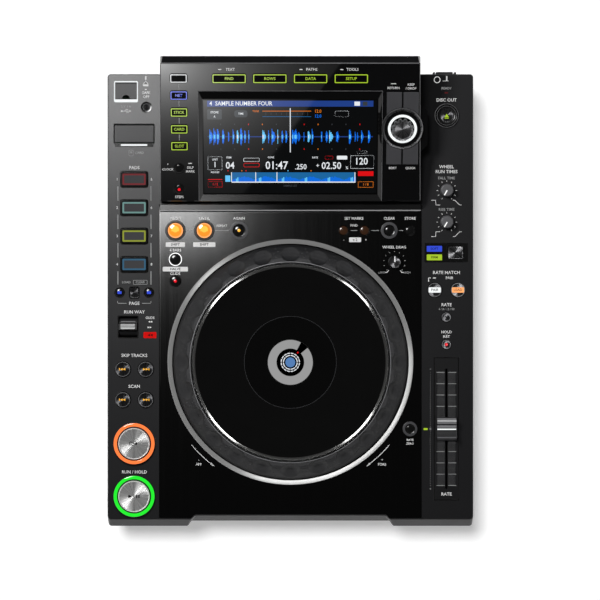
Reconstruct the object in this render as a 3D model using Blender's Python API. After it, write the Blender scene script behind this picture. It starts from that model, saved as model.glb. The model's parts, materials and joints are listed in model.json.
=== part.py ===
"""Tabletop disc player for a music booth, built from its separate pieces.

Metres, +Z up. The origin lies under the middle of the feet, -Y is the side that
faces the player, and every moving piece has its origin on its joint's axis.
"""

import math

import bmesh
import bpy
from mathutils import Matrix, Vector

# Overall sizes
BODY_WIDTH = 0.320
BODY_DEPTH = 0.410
BODY_HEIGHT = 0.118
DECK_HEIGHT = 0.072
FOOT_HEIGHT = 0.008
CABINET_BASE_HEIGHT = 0.040
REAR_OVERHANG = 0.0137

# Clearances and shared small sizes
GAP = 0.0003
RUNNING_GAP = 0.0006
OVERRUN = 0.010
OVERLAP = 0.001
WELD = 0.000001
EDGE_ROUND = 0.0007
CORNER_RADIUS = 0.0027
FLANGE_WIDTH = 0.0010
FLANGE_THICKNESS = 0.0015
CARRIAGE_THICKNESS = 0.0015

# Cabinet shell
CABINET_WALL = 0.003
CABINET_TOP_WALL = 0.006
LIP_DROP = 0.012
BEVEL_RUN = 0.007
FRONT_LEAN = 0.0015
RECESS_DEPTH = 0.0046
RECESS_BEVEL_RUN = 0.0058
RECESS_FLARE = 0.0035
RECESS_BEVEL_INSET = 0.0036
FRONT_HOLLOW_INSET = 0.0115
REAR_NOTCH_TOP = 0.066
REAR_NOTCH_LEFT_INSET = 0.010
REAR_NOTCH_RIGHT_INSET = 0.039
CABLE_WINDOW_WIDTH = 0.150
CABLE_WINDOW_DEPTH = 0.060

# Disc slot
SLOT_WIDTH = 0.126
SLOT_GAP = 0.0054
DISC_HEIGHT = 0.047
SLOT_MOUTH_FLARE = 0.0022

# Deck plate
COLUMN_WIDTH = 0.0451
DECK_THICKNESS = 0.003
DECK_RIM = 0.0008
LEDGE_WIDTH = 0.0036
UPSTAND_RISE = 0.006
UPSTAND_RUN = 0.0047
UPSTAND_REAR_GAP = 0.0021
DECK_FRONT_LEDGE = 0.006

# Jog wheel and its bearing
JOG_SIDE_MARGIN = 0.0075
JOG_FRONT_MARGIN = 0.0294
JOG_REAR_MARGIN = 0.0305
JOG_TOP_RISE = 0.0175
JOG_SHOULDER_RISE = 0.0085
JOG_SKIRT_DROP = 0.0075
GRIP_WIDTH = 0.0158
GRIP_SLOPE_RUN = 0.0090
DIMPLE_COUNT = 24
DIMPLE_INSET = 0.0054
DIMPLE_RADIUS = 0.0066
DIMPLE_DEPTH = 0.0024
DIMPLE_LEVEL_SHARE = 0.5
PLATTER_THICKNESS = 0.0042
PLATTER_BEVEL = 0.0030
PLATTER_BEVEL_DROP = 0.0010
PLATTER_SHELF_WIDTH = 0.0102
PLATTER_SHELF_THICKNESS = 0.0022
JOG_DISPLAY_RADIUS = 0.0200
TRIM_RING_WIDTH = 0.0048
TRIM_RING_HEIGHT = 0.0034
BEARING_WALL = 0.0018
BEARING_FLANGE = 0.0020
BEARING_FLOOR_GAP = 0.0018

# Display housing, along and square to its tilted face
HOUSING_FACE_DEPTH = 0.1171
HOUSING_SIDE_GAP = 0.0011
HOUSING_DRAFT = 0.0022
HOUSING_FRONT_RISE = 0.0102
HOUSING_CHIN_RUN = 0.0022
HOUSING_WALL = 0.003
HOUSING_RIDGE_RUN = 0.0083
LUG_REACH = 0.0052
LUG_FULL_LENGTH = 0.0299
SCREEN_SIDE_BAND = 0.0346
MENU_BAND = 0.0246
SCREEN_FRAME_HEIGHT = 0.0032
SCREEN_FRAME_SIDE_BEVEL = 0.0034
SCREEN_FRAME_FRONT_BEVEL = 0.0070
SCREEN_FRAME_REAR_BEVEL = 0.0062
SCREEN_FRAME_LAND = 0.0006

# Chassis, boards and drive
CHASSIS_INSET = 0.0015
CHASSIS_SHEET = 0.0015
CHASSIS_REAR_SHEET = 0.0020
FOOT_RADIUS = 0.0110
FOOT_TAPER = 0.0015
FOOT_INSET_X = 0.0300
FOOT_INSET_Y = 0.0400
VENT_COUNT = 8
VENT_LENGTH = 0.0600
VENT_WIDTH = 0.0035
VENT_PITCH = 0.0090
BOSS_RADIUS = 0.0032
BOSS_HEIGHT = 0.0045
BOARD_THICKNESS = 0.0016
BOARD_DEPTH = 0.1300
BOARD_SIDE_INSET = 0.0140
BOARD_REAR_GAP = 0.0040
SUPPLY_WIDTH = 0.0520
SUPPLY_DEPTH = 0.0700
SUPPLY_HEIGHT = 0.0280
JACK_BODY_DEPTH = 0.0140
JACK_REACH = 0.0070
PHONO_RADIUS = 0.0042
PHONO_BORE_RADIUS = 0.0017
PHONO_BODY_WIDTH = 0.0110
PHONO_HEIGHT = 0.0300
SOCKET_LIP = 0.0010
SOCKET_WALL = 0.0012
SOCKET_BOTTOM_HEIGHT = 0.0225
NETWORK_WIDTH = 0.0160
NETWORK_HEIGHT = 0.0135
SERIAL_WIDTH = 0.0120
SERIAL_HEIGHT = 0.0110
INLET_WIDTH = 0.0270
INLET_HEIGHT = 0.0200
INLET_INSET = 0.0218
DRIVE_SIDE_MARGIN = 0.0070
DRIVE_DEPTH = 0.1300
DRIVE_SHEET = 0.0016
DRIVE_BASE_HEIGHT = 0.0300
DRIVE_WALL_RISE = 0.0230
DRIVE_FRONT_INSET = 0.0160
DRIVE_LEG_WIDTH = 0.0080
PICKUP_WINDOW_WIDTH = 0.0340
PICKUP_WINDOW_DEPTH = 0.0200
ROLLER_RADIUS = 0.0031
ROLLER_PIN_RADIUS = 0.0015
ROLLER_INSET = 0.0120
SPINDLE_RADIUS = 0.0150
HUB_RADIUS = 0.0074
HUB_RISE = 0.0030
SPINDLE_SHAFT_RADIUS = 0.0020
SPINDLE_SHAFT_LENGTH = 0.0180
MOTOR_RADIUS = 0.0130
MOTOR_LENGTH = 0.0090
TURNTABLE_THICKNESS = 0.0024

# Media doors, board and sockets
DOOR_THICKNESS = 0.0020
STICK_DOOR_WIDTH = 0.0185
STICK_DOOR_DEPTH = 0.0143
CARD_DOOR_WIDTH = 0.0347
CARD_DOOR_DEPTH = 0.0161
DOOR_NOTCH_RADIUS = 0.0032
STICK_SOCKET_WIDTH = 0.0146
STICK_SOCKET_DEPTH = 0.0074
CARD_SOCKET_WIDTH = 0.0280
CARD_SOCKET_DEPTH = 0.0074
CARD_MOUTH_GAP = 0.0026
SOCKET_TOP_DROP = 0.0090
MEDIA_BOARD_DROP = 0.0240
MEDIA_BOARD_WIDTH = 0.0370
MEDIA_BOARD_REAR_MARGIN = 0.0090
MEDIA_BOARD_FRONT_MARGIN = 0.0200
MEDIA_POST_RADIUS = 0.0026
MEDIA_POST_INSET = 0.0037

# Sides of the round forms
STEPS_TINY = 12
STEPS_SMALL = 16
STEPS_LARGE = 24
STEPS_JOG = 48
STEPS_PLATTER = 48
STEPS_BEARING = 36
STEPS_DRUM = 20

# Cap radii and rises over the panel
STOP_RADIUS = 0.0031
BANK_RADIUS = 0.0036
SMALL_RADIUS = 0.0039
RESET_RADIUS = 0.0034
LOOP_RADIUS = 0.0046
LOOP_MARK_RADIUS = 0.0064
SKIP_RADIUS = 0.0064
EJECT_RADIUS = 0.0060
SYNC_RADIUS = 0.0060
START_RADIUS = 0.01375
SMALL_RISE = 0.0012
MEDIUM_RISE = 0.0022
START_RISE = 0.0040
CAP_CHAMFER = 0.0006
START_RIM_WIDTH = 0.0014
START_DISH = 0.0007
START_RING_RADIUS = 0.0182
START_RING_RISE = 0.0022
EJECT_RING_RADIUS = 0.0106
EJECT_RING_RISE = 0.0012
RING_CHAMFER = 0.0008

# Keys
PAD_WIDTH = 0.0229
PAD_DEPTH = 0.0129
CALL_WIDTH = 0.0076
CALL_DEPTH = 0.0089
MODE_WIDTH = 0.0132
MODE_DEPTH = 0.0112
SOURCE_WIDTH = 0.0148
SOURCE_DEPTH = 0.0079
MENU_KEY_GAP = 0.00576
MENU_DEPTH = 0.0083
KEY_CORNER = 0.0012
CARRIER_THICKNESS = 0.0014
SOURCE_CARRIER_WIDTH = 0.0090
MENU_CARRIER_DEPTH = 0.0050
CORNER_KEYS_WIDTH = 0.0274
CORNER_KEYS_LENGTH = 0.0638
CORNER_KEYS_GAP = 0.0013
CORNER_KEYS_RING_GAP = 0.0008
CORNER_CARRIER_INSET = 0.0022

# Knobs, lever, fader and switch
ADJUST_RADIUS = 0.0058
KNOB_RISE = 0.0085
KNOB_SKIRT = 0.0006
KNOB_GROOVE = 0.0008
SELECTOR_RING_RADIUS = 0.0173
SELECTOR_RING_BORE = 0.0101
SELECTOR_RING_RISE = 0.0024
SELECTOR_RADIUS = 0.0086
SELECTOR_RISE = 0.0100
SELECTOR_LIFT = 0.0018
SELECTOR_SHAFT_RADIUS = 0.0030
SELECTOR_SHAFT_CLEARANCE = 0.0003
SELECTOR_SHAFT_LENGTH = 0.0085
SELECTOR_SCALLOP = 0.0007
SELECTOR_SCALLOP_COUNT = 12
LEVER_WELL_WIDTH = 0.0165
LEVER_WELL_DEPTH = 0.0180
LEVER_DRUM_RADIUS = 0.0084
LEVER_PIVOT_DROP = 0.0095
LEVER_FIN_RISE = 0.0042
LEVER_FIN_DEPTH = 0.0062
LEVER_FIN_TOP_DEPTH = 0.0050
FADER_SLOT_WIDTH = 0.0019
FADER_TRAVEL = 0.0500
FADER_STEM_WIDTH = 0.0012
FADER_STEM_DEPTH = 0.0040
FADER_CAP_WIDTH = 0.0176
FADER_CAP_DEPTH = 0.0206
FADER_CAP_BASE = 0.0026
FADER_CAP_HEIGHT = 0.0082
FADER_CAP_DIP = 0.0022
FADER_CREST_SHARE = 0.72
FADER_VALLEY_SHARE = 0.28
FADER_LIFT = 0.0005
SWITCH_WIDTH = 0.0151
SWITCH_HEIGHT = 0.0090
SWITCH_REACH = 0.0033
SWITCH_CENTRE_DROP = 0.0190
GUARD_WIDTH = 0.0016
GUARD_GAP = 0.0009
GUARD_REACH = 0.0026

# Which column a place is in
LEFT = -1
RIGHT = 1

# Places on the columns: side, share outwards across half the column, share of the half depth
COLUMN_MIDDLE_SHARE = -0.036
PAD_FIRST_Y_SHARE = 0.484
PAD_STEP_SHARE = 0.121
DOOR_PLACE_SHARES = {"usb_door": (LEFT, 0.2834, 0.862), "card_door": (LEFT, -0.0288, 0.680)}
LEVER_PLACE_SHARES = (LEFT, 0.2053, -0.145)
FADER_PLACE_SHARES = (RIGHT, -0.043, -0.581)
START_RING_PLACE_SHARES = ((LEFT, COLUMN_MIDDLE_SHARE, -0.6434), (LEFT, COLUMN_MIDDLE_SHARE, -0.868))
EJECT_PLACE_SHARES = (RIGHT, COLUMN_MIDDLE_SHARE, 0.756)
SWITCH_ACROSS_SHARE = -0.0856
COLUMN_KNOB_PLACE_SHARES = {
    "touch_brake_knob": (RIGHT, -0.0288, 0.4366),
    "release_start_knob": (RIGHT, -0.0288, 0.3015),
}

# Places on the deck plate: shares of its half width, and of its depth from the front edge
ADJUST_PLACE_SHARES = (0.7923, 0.8149)
RECESS_WIDTH_SHARE = 0.7554

# Places on the tilted face: shares of a band or of the screen, and of the face's length
SOURCE_BAND_SHARE = 0.5191
SOURCE_FIRST_V_SHARE = 0.405
SOURCE_STEP_SHARE = 0.1217
SOURCE_COUNT = 5
MENU_V_SHARE = 0.890
MENU_PITCH_SHARE = 0.2207
MENU_COUNT = 4
SELECTOR_PLACE_SHARES = (RIGHT, 0.4913, 0.5324)
FACE_BUTTON_PLACE_SHARES = {"time_button": (LEFT, 0.5029, 0.239), "quantize_button": (LEFT, 0.496, 0.0896)}

# Heights on the housing's rear and its lug, as shares of its rise over the deck
HOUSING_REAR_SHARE = 0.5217
HOUSING_CHIN_SHARE = 0.3913
HOUSING_FOOT_SHARE = 0.2609
LUG_TOP_SHARE = 0.4565
LUG_Y_SHARE = 0.6962

# Places along the rear wall, as shares of the half width
PHONO_X_SHARES = (-0.66, -0.56, -0.42)
SERIAL_X_SHARE = -0.28
NETWORK_X_SHARE = -0.08

# Worked out from the sizes above
HALF_WIDTH = BODY_WIDTH / 2
HALF_DEPTH = BODY_DEPTH / 2
CABINET_REAR = HALF_DEPTH - REAR_OVERHANG
COLUMN_MIDDLE = HALF_WIDTH - COLUMN_WIDTH / 2
DECK_HALF_WIDTH = HALF_WIDTH - COLUMN_WIDTH
RECESS_HALF_WIDTH = RECESS_WIDTH_SHARE * DECK_HALF_WIDTH
HOUSING_FRONT_HEIGHT = DECK_HEIGHT + HOUSING_FRONT_RISE
HOUSING_TILT = math.atan2(BODY_HEIGHT - HOUSING_FRONT_HEIGHT, HOUSING_FACE_DEPTH)
HOUSING_FACE_LENGTH = HOUSING_FACE_DEPTH / math.cos(HOUSING_TILT)
HOUSING_FRONT = HALF_DEPTH - HOUSING_RIDGE_RUN - HOUSING_FACE_DEPTH
HOUSING_HALF_WIDTH = DECK_HALF_WIDTH - HOUSING_SIDE_GAP
SCREEN_FRAME_WIDTH = 2 * (HOUSING_HALF_WIDTH - SCREEN_SIDE_BAND)
SCREEN_FRAME_LENGTH = HOUSING_FACE_LENGTH - MENU_BAND
MENU_PITCH = MENU_PITCH_SHARE * SCREEN_FRAME_WIDTH
MENU_WIDTH = MENU_PITCH - MENU_KEY_GAP
DECK_FRONT = -HALF_DEPTH + BEVEL_RUN + DECK_RIM
DECK_REAR = HOUSING_FRONT - UPSTAND_REAR_GAP
DECK_DEPTH = DECK_REAR - DECK_FRONT
FLOOR_HEIGHT = FOOT_HEIGHT + CHASSIS_SHEET
HOLLOW_TOP = DECK_HEIGHT - CABINET_TOP_WALL
BOARD_HEIGHT = FLOOR_HEIGHT + BOSS_HEIGHT + GAP
DRIVE_WIDTH = SLOT_WIDTH + 2 * DRIVE_SIDE_MARGIN

# The trim ring reaches the nearer of the columns' margins and the front and rear ones
TRIM_RING_RADIUS = min(
    DECK_HALF_WIDTH - JOG_SIDE_MARGIN, (DECK_DEPTH - JOG_FRONT_MARGIN - JOG_REAR_MARGIN) / 2,
)
TRIM_RING_BORE = TRIM_RING_RADIUS - TRIM_RING_WIDTH
JOG_RADIUS = TRIM_RING_BORE - RUNNING_GAP
GRIP_INNER_RADIUS = JOG_RADIUS - GRIP_WIDTH
GRIP_CROWN_RADIUS = JOG_RADIUS - GRIP_SLOPE_RUN
DIMPLE_PITCH_RADIUS = JOG_RADIUS - DIMPLE_INSET
JOG_PLACE = Vector((0, (DECK_FRONT + JOG_FRONT_MARGIN + DECK_REAR - JOG_REAR_MARGIN) / 2, DECK_HEIGHT))

# Round push buttons on the columns: place shares, radius, rise
COLUMN_BUTTONS = {
    "stop_button": ((LEFT, -0.5078, 0.792), STOP_RADIUS, SMALL_RISE),
    "bank_button_left": ((LEFT, 0.5317, 0.001), BANK_RADIUS, SMALL_RISE),
    "bank_button_right": ((LEFT, -0.6106, 0.001), BANK_RADIUS, SMALL_RISE),
    "track_back_button": ((LEFT, 0.404, -0.326), SKIP_RADIUS, MEDIUM_RISE),
    "track_forward_button": ((LEFT, -0.483, -0.326), SKIP_RADIUS, MEDIUM_RISE),
    "search_back_button": ((LEFT, 0.404, -0.456), SKIP_RADIUS, MEDIUM_RISE),
    "search_forward_button": ((LEFT, -0.483, -0.456), SKIP_RADIUS, MEDIUM_RISE),
    "cue_button": (START_RING_PLACE_SHARES[0], START_RADIUS, START_RISE),
    "play_button": (START_RING_PLACE_SHARES[1], START_RADIUS, START_RISE),
    "eject_button": (EJECT_PLACE_SHARES, EJECT_RADIUS, MEDIUM_RISE),
    "sync_button": ((RIGHT, -0.497, 0.012), SYNC_RADIUS, SMALL_RISE),
    "master_button": ((RIGHT, 0.404, 0.012), SYNC_RADIUS, SMALL_RISE),
    "tempo_range_button": ((RIGHT, -0.050, -0.104), SMALL_RADIUS, SMALL_RISE),
    "master_tempo_button": ((RIGHT, -0.0466, -0.2205), SMALL_RADIUS, SMALL_RISE),
}

# Round push buttons on the deck plate: place shares, radius, rise
DECK_BUTTONS = {
    "loop_in_button": ((-0.876, 0.9164), LOOP_MARK_RADIUS, MEDIUM_RISE),
    "loop_out_button": ((-0.656, 0.9164), LOOP_MARK_RADIUS, MEDIUM_RISE),
    "reloop_button": ((-0.391, 0.9164), LOOP_RADIUS, SMALL_RISE),
    "beat_loop_button": ((-0.876, 0.8245), LOOP_RADIUS, SMALL_RISE),
    "slip_button": ((-0.876, 0.7552), LOOP_RADIUS, SMALL_RISE),
    "call_back_button": ((0.404, 0.9164), SMALL_RADIUS, SMALL_RISE),
    "call_forward_button": ((0.564, 0.9164), SMALL_RADIUS, SMALL_RISE),
    "delete_button": ((0.753, 0.9164), SMALL_RADIUS, SMALL_RISE),
    "memory_button": ((0.909, 0.9164), SMALL_RADIUS, SMALL_RISE),
    "tempo_reset_button": ((0.911, 0.2843), RESET_RADIUS, SMALL_RISE),
}

# Rectangular keys on the columns: place shares, width, depth, rise
COLUMN_KEYS = {
    "hot_cue_call_key": ((LEFT, COLUMN_MIDDLE_SHARE, 0.001), CALL_WIDTH, CALL_DEPTH, SMALL_RISE),
    "jog_mode_key": ((RIGHT, 0.3047, 0.172), MODE_WIDTH, MODE_DEPTH, SMALL_RISE),
}
COLUMN_KEYS.update({
    f"performance_pad_{number + 1}": (
        (LEFT, COLUMN_MIDDLE_SHARE, PAD_FIRST_Y_SHARE - number * PAD_STEP_SHARE),
        PAD_WIDTH, PAD_DEPTH, MEDIUM_RISE,
    )
    for number in range(4)
})

# Colour, roughness and metallic value of each finish
FINISHES = {
    "column_plastic": ((0.085, 0.085, 0.090), 0.50, 0.0),
    "brushed_deck": ((0.035, 0.035, 0.038), 0.34, 0.9),
    "gloss_black": ((0.010, 0.010, 0.011), 0.10, 0.0),
    "screen_bezel": ((0.120, 0.120, 0.125), 0.30, 0.3),
    "dark_glass": ((0.012, 0.016, 0.030), 0.05, 0.0),
    "painted_steel": ((0.040, 0.040, 0.042), 0.45, 0.2),
    "satin_metal": ((0.620, 0.620, 0.610), 0.28, 1.0),
    "grip_rubber": ((0.022, 0.022, 0.023), 0.65, 0.0),
    "black_key": ((0.030, 0.030, 0.032), 0.35, 0.0),
    "orange_key": ((0.850, 0.250, 0.030), 0.35, 0.0),
    "circuit_board": ((0.030, 0.180, 0.070), 0.50, 0.0),
    "drive_steel": ((0.480, 0.490, 0.500), 0.35, 1.0),
}


def finish(name):
    """The named material, made the first time that it is asked for."""
    found = bpy.data.materials.get(name)
    if found:
        return found
    colour, roughness, metallic = FINISHES[name]
    made = bpy.data.materials.new(name)
    made.use_nodes = True
    shader = made.node_tree.nodes["Principled BSDF"]
    shader.inputs["Base Color"].default_value = (*colour, 1.0)
    shader.inputs["Roughness"].default_value = roughness
    shader.inputs["Metallic"].default_value = metallic
    made.diffuse_color = (*colour, 1.0)
    return made


def circle(radius, steps, turn=0.0):
    """Points round a circle about the origin."""
    angles = [math.tau * step / steps + turn for step in range(steps)]
    return [(radius * math.cos(a), radius * math.sin(a)) for a in angles]


def rounded(width, depth, corner, steps=2):
    """Points round a rectangle with arcs at its corners."""
    points = []
    for quarter, (sx, sy) in enumerate(((1, 1), (-1, 1), (-1, -1), (1, -1))):
        centre = (sx * (width / 2 - corner), sy * (depth / 2 - corner))
        for step in range(steps + 1):
            angle = math.pi / 2 * (quarter + step / steps)
            points.append((centre[0] + corner * math.cos(angle), centre[1] + corner * math.sin(angle)))
    return points


def loft(rings):
    """A closed body through level rings of as many points each, from the lowest up."""
    shape = bmesh.new()
    rows = [[shape.verts.new((x, y, z)) for x, y in outline] for outline, z in rings]
    shape.faces.new(list(reversed(rows[0])))
    for lower, upper in zip(rows, rows[1:]):
        for here in range(len(lower)):
            after = (here + 1) % len(lower)
            shape.faces.new((lower[here], lower[after], upper[after], upper[here]))
    shape.faces.new(rows[-1])
    return shape


def prism(outline, low, high):
    """An outline carried straight up from one height to another."""
    return loft([(outline, low), (outline, high)])


def block(width, depth, low, high):
    """A plain block about the Z axis."""
    return prism(rounded(width, depth, 0, 1)[::2], low, high)


def side_prism(profile, half_width):
    """A (y, z) profile carried along X, to both sides of the middle."""
    shape = bmesh.new()
    face = shape.faces.new([shape.verts.new((-half_width, y, z)) for y, z in profile])
    extruded = bmesh.ops.extrude_face_region(shape, geom=[face])["geom"]
    moved = [item for item in extruded if isinstance(item, bmesh.types.BMVert)]
    bmesh.ops.translate(shape, verts=moved, vec=(2 * half_width, 0, 0))
    bmesh.ops.recalc_face_normals(shape, faces=shape.faces)
    return shape


def turned(profile, steps):
    """A (radius, height) profile spun about the Z axis: a ring unless it meets the axis."""
    shape = bmesh.new()
    points = [shape.verts.new((radius, 0, height)) for radius, height in profile]
    edges = [shape.edges.new(pair) for pair in zip(points, points[1:])]
    if profile[0][0] > 0:
        edges.append(shape.edges.new((points[-1], points[0])))
    bmesh.ops.spin(
        shape, geom=points + edges, cent=(0, 0, 0), axis=(0, 0, 1), dvec=(0, 0, 0),
        angle=math.tau, steps=steps, use_merge=True,
    )
    bmesh.ops.remove_doubles(shape, verts=shape.verts, dist=WELD)
    bmesh.ops.recalc_face_normals(shape, faces=shape.faces)
    return shape


def placed(shape, place=(0, 0, 0), turn=None):
    """The same shape turned by a matrix and then moved."""
    if turn is not None:
        shape.transform(turn)
    shape.transform(Matrix.Translation(place))
    return shape


def gathered(shapes):
    """Separate bodies held in one shape, for a cutter or a union."""
    whole = bmesh.new()
    for shape in shapes:
        loose = bpy.data.meshes.new("loose")
        shape.to_mesh(loose)
        shape.free()
        whole.from_mesh(loose)
        bpy.data.meshes.remove(loose)
    return whole


def node(name, shape, surface, place=(0, 0, 0), parent=None):
    """One named piece of the object with its own material."""
    mesh = bpy.data.meshes.new(name)
    shape.to_mesh(mesh)
    shape.free()
    mesh.shade_smooth()
    mesh.set_sharp_from_angle(angle=math.radians(32))
    mesh.materials.append(finish(surface))
    piece = bpy.data.objects.new(name, mesh)
    piece.location = place
    piece.parent = parent
    bpy.context.scene.collection.objects.link(piece)
    return piece


def shape_with(piece, shape, operation, place=(0, 0, 0), parent=None):
    """Cuts a shape from a piece, or joins it on, with a Boolean and a hidden helper."""
    mesh = bpy.data.meshes.new(f"{piece.name} {operation.lower()}")
    shape.to_mesh(mesh)
    shape.free()
    helper = bpy.data.objects.new(mesh.name, mesh)
    helper.location = place
    helper.parent = parent
    helper.hide_render = True
    helper.display_type = "WIRE"
    bpy.context.scene.collection.objects.link(helper)
    boolean = piece.modifiers.new(operation.lower(), "BOOLEAN")
    boolean.operation = operation
    boolean.object = helper
    boolean.solver = "EXACT"


def soften(piece, width=EDGE_ROUND):
    """A narrow round along a piece's sharp edges."""
    bevel = piece.modifiers.new("edge round", "BEVEL")
    bevel.width = width
    bevel.segments = 1
    bevel.limit_method = "ANGLE"
    bevel.angle_limit = math.radians(40)


def on_column(shares, height=DECK_HEIGHT):
    """A point over a column from its side and its two shares."""
    side, across, along = shares
    return Vector((side * (COLUMN_MIDDLE + across * COLUMN_WIDTH / 2), along * HALF_DEPTH, height))


def on_deck(shares):
    """A point on the deck plate from its two shares."""
    return Vector((shares[0] * DECK_HALF_WIDTH, DECK_FRONT + shares[1] * DECK_DEPTH, DECK_HEIGHT))


def on_band(shares):
    """A point in a band beside the screen, in the tilted face's own frame."""
    side, across, along = shares
    return Vector((side * (HOUSING_HALF_WIDTH - across * SCREEN_SIDE_BAND), along * HOUSING_FACE_LENGTH, 0))


def round_cap(radius, rise, panel):
    """A cap that stands in a round hole, kept in by a flange under the panel."""
    steps = steps_for(radius)
    flange = circle(radius + FLANGE_WIDTH, steps)
    body = circle(radius, steps)
    under = -panel - GAP
    return loft([
        (flange, under - FLANGE_THICKNESS), (body, under),
        (body, rise - CAP_CHAMFER), (circle(radius - CAP_CHAMFER, steps), rise),
    ])


def start_cap(panel):
    """A start button's cap: a raised rim round a shallow dish, kept in by a flange."""
    flange = circle(START_RADIUS + FLANGE_WIDTH, STEPS_LARGE)
    body = circle(START_RADIUS, STEPS_LARGE)
    rim = START_RADIUS - START_RIM_WIDTH
    under = -panel - GAP
    return loft([
        (flange, under - FLANGE_THICKNESS), (body, under),
        (body, START_RISE - CAP_CHAMFER),
        (circle(START_RADIUS - CAP_CHAMFER, STEPS_LARGE), START_RISE),
        (circle(rim, STEPS_LARGE), START_RISE),
        (circle(rim - CAP_CHAMFER, STEPS_LARGE), START_RISE - START_DISH),
    ])


def key_cap(width, depth, rise, panel, flange=FLANGE_WIDTH):
    """A rectangular key in its hole, with a chamfered top and a flange under the panel."""
    body = rounded(width, depth, KEY_CORNER)
    wide = rounded(width + 2 * flange, depth + 2 * flange, KEY_CORNER + flange)
    top = rounded(width - 2 * CAP_CHAMFER, depth - 2 * CAP_CHAMFER, KEY_CORNER - CAP_CHAMFER)
    under = -panel - GAP
    return loft([
        (wide, under - FLANGE_THICKNESS), (body, under), (body, rise - CAP_CHAMFER), (top, rise),
    ])


def steps_for(radius):
    """How many sides a round cap and its hole have."""
    if radius < LOOP_RADIUS:
        return STEPS_TINY
    return STEPS_LARGE if radius > SKIP_RADIUS else STEPS_SMALL


def round_hole(radius, depth):
    """A cutter for a round hole with running clearance."""
    return prism(circle(radius + GAP, steps_for(radius)), -depth - OVERRUN, OVERRUN)


def key_hole(width, depth, panel, steps=2):
    """A cutter for a rectangular hole with running clearance."""
    outline = rounded(width + 2 * GAP, depth + 2 * GAP, KEY_CORNER + GAP, steps)
    return prism(outline, -panel - OVERRUN, OVERRUN)


def cabinet_body():
    """The outside of the cabinet: a profile lofted across, drawn back round the front recess."""
    front = -HALF_DEPTH
    lip = DECK_HEIGHT - LIP_DROP

    def row(lip_x, top_x, back, run):
        return [
            (lip_x, CABINET_REAR, CABINET_BASE_HEIGHT), (lip_x, CABINET_REAR, DECK_HEIGHT),
            (top_x, front + back + run, DECK_HEIGHT), (lip_x, front + back, lip),
            (lip_x, front + back + FRONT_LEAN, CABINET_BASE_HEIGHT),
        ]

    wide = RECESS_HALF_WIDTH + RECESS_FLARE
    narrow = RECESS_HALF_WIDTH
    inset = RECESS_BEVEL_INSET
    rows = [
        row(-HALF_WIDTH, -HALF_WIDTH, 0, BEVEL_RUN),
        row(-wide, inset - wide, 0, BEVEL_RUN),
        row(-narrow, inset - narrow, RECESS_DEPTH, RECESS_BEVEL_RUN),
        row(narrow, narrow - inset, RECESS_DEPTH, RECESS_BEVEL_RUN),
        row(wide, wide - inset, 0, BEVEL_RUN),
        row(HALF_WIDTH, HALF_WIDTH, 0, BEVEL_RUN),
    ]
    shape = bmesh.new()
    made = [[shape.verts.new(point) for point in points] for points in rows]
    for left, right in zip(made, made[1:]):
        for here in range(len(left)):
            after = (here + 1) % len(left)
            shape.faces.new((left[here], left[after], right[after], right[here]))
    shape.faces.new(made[0])
    shape.faces.new(made[-1])
    corners = []
    for end in (made[0], made[-1]):
        for first, second in ((0, 1), (2, 3), (3, 4)):
            corners.append(shape.edges.get((end[first], end[second])))
    bmesh.ops.bevel(
        shape, geom=corners, offset=CORNER_RADIUS, offset_type="OFFSET", segments=3,
        profile=0.5, affect="EDGES",
    )
    bmesh.ops.recalc_face_normals(shape, faces=shape.faces)
    return shape


def deck_outline(clearance):
    """The deck plate's plan, drawn in by a clearance, with the front recess."""
    side = DECK_HALF_WIDTH - clearance
    front = DECK_FRONT + clearance
    recess = -HALF_DEPTH + RECESS_DEPTH + RECESS_BEVEL_RUN + DECK_RIM + clearance
    outer = RECESS_HALF_WIDTH + RECESS_FLARE - RECESS_BEVEL_INSET
    inner = RECESS_HALF_WIDTH - RECESS_BEVEL_INSET
    rear = DECK_REAR - clearance
    return [
        (-side, front), (-outer, front), (-inner, recess), (inner, recess), (outer, front),
        (side, front), (side, rear), (-side, rear),
    ]


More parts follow.
